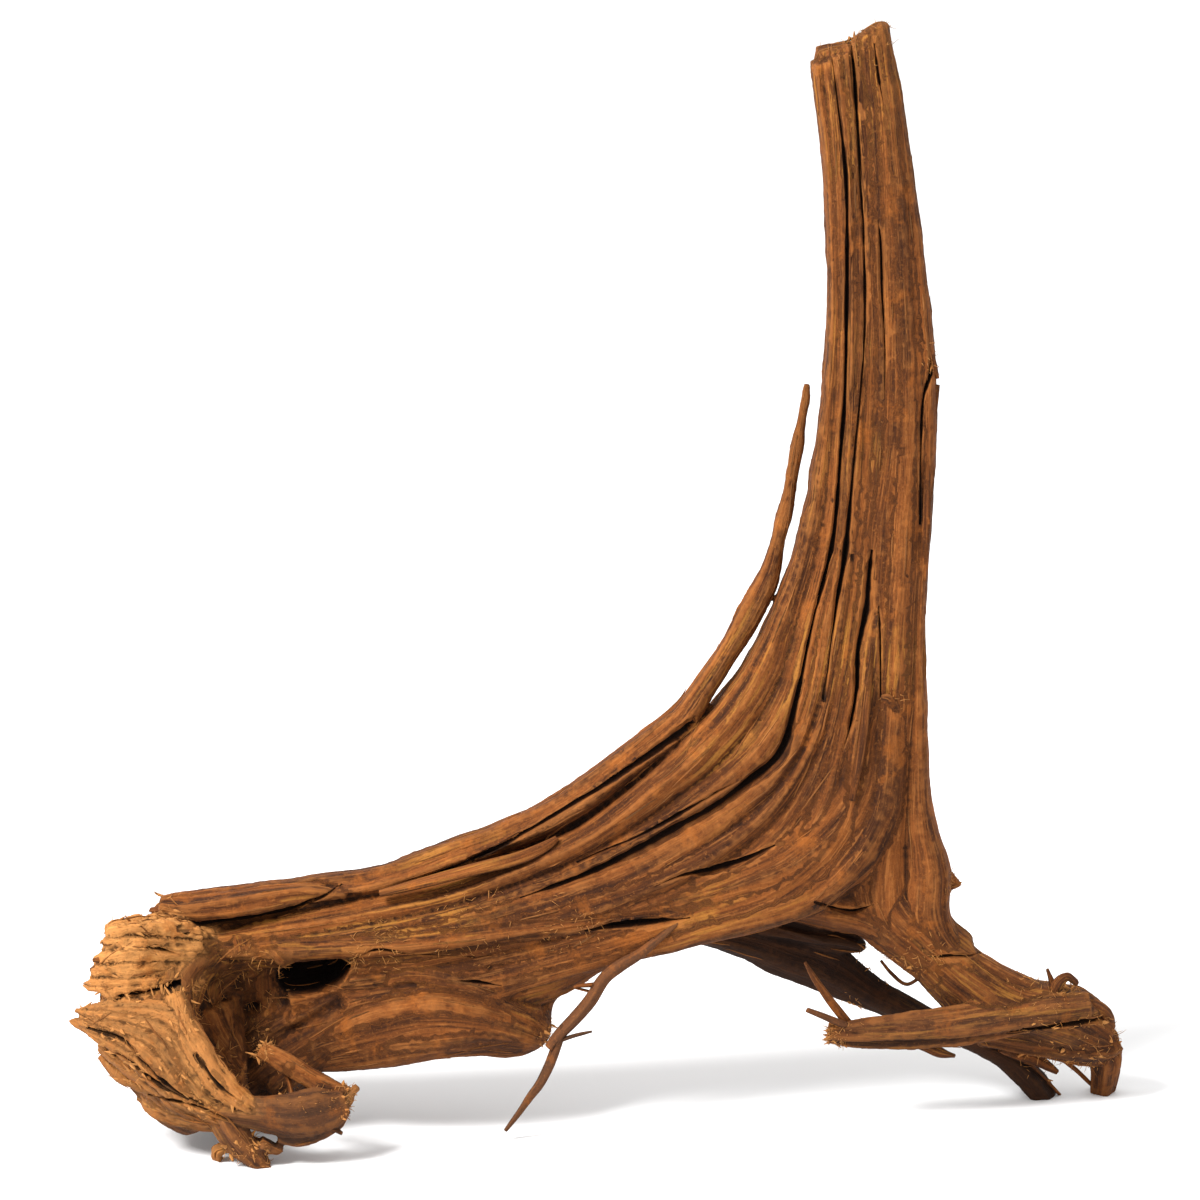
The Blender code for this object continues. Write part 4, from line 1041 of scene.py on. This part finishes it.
class Socket:
    """A shader socket that takes part in Python expressions, each of which adds a Math node."""

    def __init__(self, nodes, output):
        self.nodes = nodes
        self.output = output

    def _math(self, operation, *values):
        return self.nodes.add("ShaderNodeMath", {"operation": operation}, dict(enumerate(values)))

    def __add__(self, other):
        return self._math("ADD", self, other)

    def __radd__(self, other):
        return self._math("ADD", other, self)

    def __sub__(self, other):
        return self._math("SUBTRACT", self, other)

    def __rsub__(self, other):
        return self._math("SUBTRACT", other, self)

    def __mul__(self, other):
        return self._math("MULTIPLY", self, other)

    def __rmul__(self, other):
        return self._math("MULTIPLY", other, self)

    def __pow__(self, other):
        return self._math("POWER", self, other)

    def clamped(self):
        return self.nodes.add("ShaderNodeMath", {"operation": "ADD", "use_clamp": True}, {0: self, 1: 0})

    def between(self, low, high):
        """0 where the value is below low, 1 where it is above high, and a smooth step between."""
        inputs = {"Value": self, "From Min": low, "From Max": high}
        return self.nodes.add("ShaderNodeMapRange", {"interpolation_type": "SMOOTHSTEP"}, inputs)


class Nodes:
    """The nodes of one material."""

    def __init__(self, material):
        material.use_nodes = True
        self.tree = material.node_tree
        self.shader = self.tree.nodes["Principled BSDF"]

    def add(self, kind, settings=None, inputs=None, output=0):
        """A node of this type with its settings, and the values or links of its sockets."""
        node = self.tree.nodes.new(kind)
        for key, value in (settings or {}).items():
            setattr(node, key, value)
        for key, value in (inputs or {}).items():
            self.feed(node.inputs[key], value)
        return Socket(self, node.outputs[output])

    def feed(self, socket, value):
        if isinstance(value, Socket):
            self.tree.links.new(value.output, socket)
        else:
            socket.default_value = value

    def attribute(self, name, output="Fac"):
        return self.add("ShaderNodeAttribute", {"attribute_name": name}, output=output)

    def stretched(self, vector, scale):
        """The vector times these three scales."""
        return self.add("ShaderNodeVectorMath", {"operation": "MULTIPLY"}, {0: vector, 1: scale})

    def noise(self, vector, scale, detail=3, roughness=0.55):
        inputs = {"Vector": vector, "Scale": scale, "Detail": detail, "Roughness": roughness}
        return self.add("ShaderNodeTexNoise", None, inputs)

    def mix(self, factor, first, second, blend="MIX"):
        """The first colour where the factor is 0 and the second where it is 1."""
        node = self.tree.nodes.new("ShaderNodeMix")
        node.data_type = "RGBA"
        node.blend_type = blend
        self.feed(node.inputs["Factor"], factor)
        self.feed(node.inputs[6], first)
        self.feed(node.inputs[7], second)
        return Socket(self, node.outputs[2])


def wood_material(colours):
    """Dry fibrous wood: streaks and fine fibres along the grain, orange dust, grey and torn parts, with
    painted shade in creases, hollows, deep holes, undersides and shaded limbs and a painted highlight on
    convex edges.
    """
    material = bpy.data.materials.get("weathered_wood") or bpy.data.materials.new("weathered_wood")
    if "streaks" in material:
        return material
    material["streaks"] = 1
    nodes = Nodes(material)
    grain_place = nodes.attribute("grain", "Vector")
    spot = nodes.add("ShaderNodeTexCoord", output="Object")
    sunk_shade = nodes.attribute("hollow")
    fold_shade_and_highlight = nodes.attribute("fold_shade_and_highlight")
    streaks = nodes.noise(nodes.stretched(grain_place, (0.3, 0.3, 0.012)), 1, 5, 0.62)
    fibres = nodes.noise(nodes.stretched(grain_place, (1.25, 1.25, 0.05)), 1, 4, 0.65)
    grit = nodes.noise(spot, 1100, 3, 0.7)
    drift = nodes.noise(spot, 22, 3, 0.6)
    dust = nodes.noise(spot, 85, 6, 0.72)
    torn = nodes.attribute("torn")
    glow = nodes.noise(nodes.stretched(grain_place, (0.7, 0.7, 0.035)), 1, 4, 0.6)
    patch = nodes.noise(spot, 16, 2, 0.5)
    colour = nodes.mix(streaks.between(0.36, 0.62), (*colours.dark, 1), (*colours.warm, 1))
    colour = nodes.mix(fibres.between(0.5, 0.72) * 0.55, colour, (*colours.light, 1))
    colour = nodes.mix(fibres.between(0.5, 0.3) * 0.55, colour, (*colours.groove, 1))
    colour = nodes.mix(drift.between(0.42, 0.7) * 0.35, colour, (*colours.dark, 1))
    colour = nodes.mix(glow.between(0.5, 0.66) * patch.between(0.48, 0.64) * 0.75, colour, (*colours.glow, 1))
    colour = nodes.mix(nodes.attribute("grey") * 0.6, colour, (*colours.grey, 1))
    colour = nodes.mix(torn * (0.2 + 0.6 * fibres), colour, (*colours.torn, 1))
    colour = nodes.mix(dust.between(0.52, 0.68) * (0.45 + 0.15 * torn), colour, (*colours.dust, 1))
    colour = nodes.mix(grit.between(0.56, 0.74) * 0.35, colour, (*colours.light, 1))
    colour = nodes.mix(grit.between(0.45, 0.28) * 0.4, colour, (*colours.groove, 1))
    # Painted highlight: convex edges are lightened.
    colour = nodes.mix((0 - fold_shade_and_highlight).between(0.05, 0.3) * 0.3, colour, (*colours.light, 1))
    # Painted shade: the shaded limbs and the deep holes are darkened.
    colour = nodes.mix((nodes.attribute("dark") * 0.76).clamped(), colour, (*colours.groove, 1))
    # Painted shade under faces turned down.
    colour = nodes.mix(nodes.attribute("below") * 0.5, colour, (*colours.groove, 1))
    # Painted shade in creases.
    colour = nodes.mix(fold_shade_and_highlight.between(0.05, 0.38) * 0.72, colour, (*colours.groove, 1))
    # Painted shade in deep hollows.
    colour = nodes.mix(sunk_shade.between(0.9, 2.8) * 0.95, colour, (*colours.groove, 1))
    nodes.feed(nodes.shader.inputs["Base Color"], colour)
    nodes.feed(nodes.shader.inputs["Roughness"], 0.72 + 0.22 * grit)
    nodes.shader.inputs["Specular IOR Level"].default_value = 0.15
    height = fibres * 0.8 + grit * 0.4 + dust * 0.25
    bump = nodes.add("ShaderNodeBump", None, {"Strength": 0.9, "Distance": 0.0009, "Height": height})
    nodes.feed(nodes.shader.inputs["Normal"], bump)
    return material


class DRIFTWOOD_PG_shape(bpy.types.PropertyGroup):
    """Sizes of the wood's fine forms."""

    voxel: FloatProperty(name="Detail", description="Size of the cells that the wood is fused in",
                         default=0.0008, min=0.0004, precision=5, unit="LENGTH")
    triangles: IntProperty(name="Triangles", description="About how many triangles the wood keeps",
                           default=190000, min=20000, max=198000)
    ridge_depth: FloatProperty(name="Ridges", description="Height of the ridges along the grain",
                               default=0.00055, min=0, precision=5, unit="LENGTH")
    crack_depth: FloatProperty(name="Cracks", description="Depth of the cracks along the grain",
                               default=0.0016, min=0, precision=5, unit="LENGTH")
    grit_depth: FloatProperty(name="Grit", description="Height of the rough grain of the surface",
                              default=0.00012, min=0, precision=5, unit="LENGTH")
    crumble_depth: FloatProperty(name="Crumble", description="Height of the lumps of torn wood",
                                 default=0.0011, min=0, precision=5, unit="LENGTH")
    strands: IntProperty(name="Strands", description="How many lifted strands lie along the grain",
                         default=620, min=0)
    chips: FloatProperty(name="Chips", description="Share of the chips on the torn places", default=1,
                         min=0, max=2, subtype="FACTOR")
    hairs: FloatProperty(name="Hairs", description="Share of the hairs on the torn places", default=1,
                         min=0, max=2, subtype="FACTOR")


class DRIFTWOOD_PG_colours(bpy.types.PropertyGroup):
    """Colours of the wood and of its studio."""

    dark: FloatVectorProperty(name="Dark wood", description="Darker streaks", subtype="COLOR",
                              default=(0.04, 0.0115, 0.0026), min=0, max=1)
    warm: FloatVectorProperty(name="Warm wood", description="Main colour of the wood", subtype="COLOR",
                              default=(0.172, 0.0495, 0.0088), min=0, max=1)
    # The light fibres' colour is also the painted highlight on convex edges.
    light: FloatVectorProperty(name="Light fibres", description="Raised fibres and edges", subtype="COLOR",
                               default=(0.38, 0.137, 0.032), min=0, max=1)
    # The grooves' colour is the painted shade of creases, hollows, holes, undersides and shaded limbs, and
    # also the colour of dark fibres and specks.
    groove: FloatVectorProperty(name="Grooves", description="Deep and shaded places", subtype="COLOR",
                                default=(0.0085, 0.0028, 0.0011), min=0, max=1)
    glow: FloatVectorProperty(name="Golden streaks", description="Yellow streaks in patches", subtype="COLOR",
                              default=(0.34, 0.14, 0.022), min=0, max=1)
    dust: FloatVectorProperty(name="Dust", description="Orange dust in patches", subtype="COLOR",
                              default=(0.32, 0.092, 0.0125), min=0, max=1)
    grey: FloatVectorProperty(name="Grey wood", description="Weathered outer wood", subtype="COLOR",
                              default=(0.068, 0.033, 0.0175), min=0, max=1)
    torn: FloatVectorProperty(name="Torn wood", description="Freshly torn wood of the burl", subtype="COLOR",
                              default=(0.8, 0.36, 0.105), min=0, max=1)
    floor: FloatVectorProperty(name="Floor", description="Pale floor", subtype="COLOR",
                               default=(0.9, 0.9, 0.9), min=0, max=1)


def find_piece(name):
    """The piece of this name, which an earlier operator made."""
    if name not in bpy.data.objects:
        raise RuntimeError(f"make {name} first")
    return bpy.data.objects[name]


class DRIFTWOOD_OT_wood(bpy.types.Operator):
    """The wood itself: limbs fused, hollowed, grooved and roughened along the grain"""

    bl_idname = "driftwood.wood"
    bl_label = "Wood"

    def execute(self, context):
        settings = context.scene.driftwood_shape
        rng = random.Random(SEED)
        body = solid_body(rng, settings.voxel)
        soften(body.data)
        corners = [vertex.co for vertex in body.data.vertices]
        surface = BVHTree.FromPolygons(corners, [face.vertices for face in body.data.polygons])
        cutters = [groove_cutter(name, groove_rows(rows), surface, rng) for name, rows in GROOVES.items()]
        combine(body, cutters, "DIFFERENCE")
        points, normals = points_of(body.data)
        place, _, number = grain.at(points)
        torn = spread(body.data, limb_share(number, TORN_LIMBS), 6)
        calm = spread(body.data, limb_share(number, CALM_LIMBS), 12)
        moved = points + normals * relief(body.data, points, place, torn, calm, settings)[:, None]
        moved[:, 2] = np.maximum(moved[:, 2], 0)
        body.data.vertices.foreach_set("co", moved.ravel())
        body.data.update()
        fewer = body.modifiers.new("fewer", "DECIMATE")
        fewer.ratio = settings.triangles / sum(len(face.vertices) - 2 for face in body.data.polygons)
        settle(body)
        dress(body)
        finish_piece(body, "wood", wood_material(context.scene.driftwood_colours))
        return {"FINISHED"}


class DRIFTWOOD_OT_splinters(bpy.types.Operator):
    """The splinters that stand out of the wood"""

    bl_idname = "driftwood.splinters"
    bl_label = "Splinters"

    def execute(self, context):
        rng = random.Random(SEED + 1)
        made = []
        for name, rows in SPLINTERS.items():
            rings = 6 * len(rows)
            made.append(limb(name, limb_rows(rows), rng, rings=rings, sides=7, flutes=3, flute_depth=0.13))
        splinters = join(made)
        dress(splinters, hollows=False)
        finish_piece(splinters, "splinters", wood_material(context.scene.driftwood_colours))
        return {"FINISHED"}


class DRIFTWOOD_OT_strands(bpy.types.Operator):
    """Thin strands that lie along the grain and lift off at their ends"""

    bl_idname = "driftwood.strands"
    bl_label = "Strands"

    def execute(self, context):
        body = find_piece("wood")
        surface, points, normals, way = nearest_wood(body)
        rng = random.Random(SEED + 2)
        bundle = Bundle()
        steps = 9
        for _ in range(context.scene.driftwood_shape.strands):
            start = rng.randrange(len(points))
            here = Vector(points[start])
            heading = Vector(way[start]) * rng.choice((-1, 1))
            length = rng.uniform(5, 22) * MM
            wide = rng.uniform(0.16, 0.42)
            centres, widths = [], []
            for i in range(steps):
                spot, normal, _, _ = surface.find_nearest(here)
                run = i / (steps - 1)
                lift = -0.1 + 0.2 * math.sin(math.pi * run) + 0.7 * max(0, run - 0.8) * rng.uniform(0, 4)
                centres.append(spot + normal * lift * MM)
                widths.append(wide * (0.25 + 0.75 * math.sin(math.pi * min(1, 0.1 + run * 0.86))))
                forward = (heading - normal * heading.dot(normal)).normalized()
                here = spot + forward * length / steps
                heading = forward
            if (centres[-1] - centres[0]).length > length * 0.5 and min(c.z for c in centres) > 0.0005:
                bundle.add(tube(centres, widths, 5, 1.6, rng))
        strands = bundle.made("strands", 0.15, 0.1, 0)
        finish_piece(strands, "strands", wood_material(context.scene.driftwood_colours))
        return {"FINISHED"}


class DRIFTWOOD_OT_hairs(bpy.types.Operator):
    """Fine torn hairs that bristle from the broken places"""

    bl_idname = "driftwood.hairs"
    bl_label = "Hairs"

    def execute(self, context):
        body = find_piece("wood")
        surface, points, normals, way = nearest_wood(body)
        rng = random.Random(SEED + 3)
        shown = front_places(points)
        facing = normals @ np.array([0, -math.cos(SIGHT), math.sin(SIGHT)])
        bundle = Bundle()
        for px, py, radius_px, count, length, _ in HAIR_SPOTS:
            away = np.linalg.norm(shown - np.array(seen(px, py)), axis=1)
            near = np.flatnonzero((away < radius_px * PIXEL) & (facing > -0.35))
            if len(near) == 0:
                raise RuntimeError(f"no wood lies at the hairs' spot {px}, {py}")
            for _ in range(int(count * context.scene.driftwood_shape.hairs)):
                i = near[rng.randrange(len(near))]
                lean = Vector([rng.gauss(0, 1) for _ in range(3)]) * 0.45
                heading = Vector(normals[i]) * 0.8 + Vector(way[i]) * rng.choice((-1, 1)) * 0.7 + lean
                heading.normalize()
                bend = Vector([rng.gauss(0, 1) for _ in range(3)]) * 0.35
                reach = length * rng.uniform(0.35, 1.15) * MM
                root = Vector(points[i]) - Vector(normals[i]) * 0.0003
                centres = [root + (heading * t + bend * t * t) * reach for t in (0, 0.3, 0.6, 0.85, 1)]
                if min(c.z for c in centres) > 0.0003:
                    bundle.add(tube(centres, [0.13, 0.12, 0.1, 0.07, 0.04], 3, 1, rng))
        hairs = bundle.made("hairs", 1, 0, 0)
        finish_piece(hairs, "hairs", wood_material(context.scene.driftwood_colours))
        return {"FINISHED"}


class DRIFTWOOD_OT_chips(bpy.types.Operator):
    """Flat chips and frayed ends of wood at the torn places"""

    bl_idname = "driftwood.chips"
    bl_label = "Chips"

    def execute(self, context):
        body = find_piece("wood")
        _, points, normals, way = nearest_wood(body)
        rng = random.Random(SEED + 4)
        shown = front_places(points)
        facing = normals @ np.array([0, -math.cos(SIGHT), math.sin(SIGHT)])
        bundle = Bundle()
        for px, py, radius_px, _, length, count in HAIR_SPOTS:
            away = np.linalg.norm(shown - np.array(seen(px, py)), axis=1)
            near = np.flatnonzero((away < radius_px * PIXEL) & (facing > -0.35))
            for _ in range(int(count * context.scene.driftwood_shape.chips)):
                i = near[rng.randrange(len(near))]
                normal = Vector(normals[i])
                lean = Vector([rng.gauss(0, 1) for _ in range(3)]) * 0.3
                heading = normal * rng.uniform(0.05, 0.55) + Vector(way[i]) * rng.choice((-1, 1)) + lean
                heading.normalize()
                reach = length * rng.uniform(0.6, 1.7) * MM
                wide = rng.uniform(0.3, 0.85)
                root = Vector(points[i]) - normal * 0.0007
                bend = normal * rng.uniform(-0.25, 0.35)
                centres = [root + (heading * t + bend * t * t) * reach for t in (0, 0.25, 0.5, 0.75, 1)]
                widths = [wide * share * rng.uniform(0.75, 1.25) for share in (0.8, 1, 0.9, 0.6, 0.25)]
                if min(c.z for c in centres) > 0.0015:
                    bundle.add(tube(centres, widths, 5, 2.6, rng))
        chips = bundle.made("chips", 0.8, 0.1, 0)
        finish_piece(chips, "chips", wood_material(context.scene.driftwood_colours))
        return {"FINISHED"}


class DRIFTWOOD_OT_stage(bpy.types.Operator):
    """The pale floor, the soft studio light and the camera at the picture's angle"""

    bl_idname = "driftwood.stage"
    bl_label = "Stage"

    def execute(self, context):
        scene = context.scene
        bpy.ops.mesh.primitive_plane_add(size=12, location=(0, 0, 0))
        floor = context.active_object
        floor.name = "floor"
        pale = bpy.data.materials.new("pale_floor")
        pale.use_nodes = True
        shader = pale.node_tree.nodes["Principled BSDF"]
        shader.inputs["Base Color"].default_value = (*scene.driftwood_colours.floor, 1)
        shader.inputs["Roughness"].default_value = 0.9
        shader.inputs["Specular IOR Level"].default_value = 0.1
        floor.data.materials.append(pale)
        world = bpy.data.worlds.new("studio")
        scene.world = world
        world.use_nodes = True
        world.node_tree.nodes["Background"].inputs["Color"].default_value = (1, 1, 1, 1)
        world.node_tree.nodes["Background"].inputs["Strength"].default_value = 1.1
        self.lamp("key", (-1.3, -1.1, 1.7), 0.7, 94)
        target = Vector((-CENTRE[0], -CENTRE[1], (GROUND_PX - CENTRE_PX) * PIXEL / math.cos(SIGHT))) * MM
        back = Vector((0, -math.cos(SIGHT), math.sin(SIGHT)))
        distance = 2.5
        data = bpy.data.cameras.new("front")
        data.sensor_width = 36
        data.lens = data.sensor_width * distance / (2 * CENTRE_PX * PIXEL * MM)
        camera = bpy.data.objects.new("front", data)
        scene.collection.objects.link(camera)
        camera.location = target + back * distance
        camera.rotation_mode = "QUATERNION"
        camera.rotation_quaternion = (-back).to_track_quat("-Z", "Y")
        scene.camera = camera
        scene.view_settings.view_transform = "Standard"
        return {"FINISHED"}

    def lamp(self, name, place, size, power):
        """A square soft light that faces the middle of the wood."""
        data = bpy.data.lights.new(name, "AREA")
        data.size = size
        data.energy = power
        light = bpy.data.objects.new(name, data)
        bpy.context.scene.collection.objects.link(light)
        light.location = place
        light.rotation_mode = "QUATERNION"
        light.rotation_quaternion = (Vector((0, 0, 0.15)) - Vector(place)).to_track_quat("-Z", "Y")


class DRIFTWOOD_PT_panel(bpy.types.Panel):
    """Lists the wood's pieces and their settings"""

    bl_idname = "DRIFTWOOD_PT_panel"
    bl_label = "Driftwood"
    bl_space_type = "VIEW_3D"
    bl_region_type = "UI"
    bl_category = "Driftwood"

    def draw(self, context):
        for settings in (context.scene.driftwood_shape, context.scene.driftwood_colours):
            box = self.layout.box()
            for name in settings.bl_rna.properties.keys():
                if name not in ("rna_type", "name"):
                    box.prop(settings, name)
        for operator in OPERATORS:
            self.layout.operator(operator.bl_idname)


OPERATORS = (
    DRIFTWOOD_OT_wood,
    DRIFTWOOD_OT_splinters,
    DRIFTWOOD_OT_strands,
    DRIFTWOOD_OT_hairs,
    DRIFTWOOD_OT_chips,
    DRIFTWOOD_OT_stage,
)
CLASSES = (DRIFTWOOD_PG_shape, DRIFTWOOD_PG_colours, *OPERATORS, DRIFTWOOD_PT_panel)


def register():
    for cls in CLASSES:
        bpy.utils.register_class(cls)
    bpy.types.Scene.driftwood_shape = PointerProperty(type=DRIFTWOOD_PG_shape)
    bpy.types.Scene.driftwood_colours = PointerProperty(type=DRIFTWOOD_PG_colours)


def unregister():
    del bpy.types.Scene.driftwood_colours
    del bpy.types.Scene.driftwood_shape
    for cls in reversed(CLASSES):
        bpy.utils.unregister_class(cls)


def main():
    register()
    bpy.ops.driftwood.wood()
    bpy.ops.driftwood.splinters()
    bpy.ops.driftwood.strands()
    bpy.ops.driftwood.hairs()
    bpy.ops.driftwood.chips()
    bpy.ops.driftwood.stage()


if __name__ == "__main__":
    main()
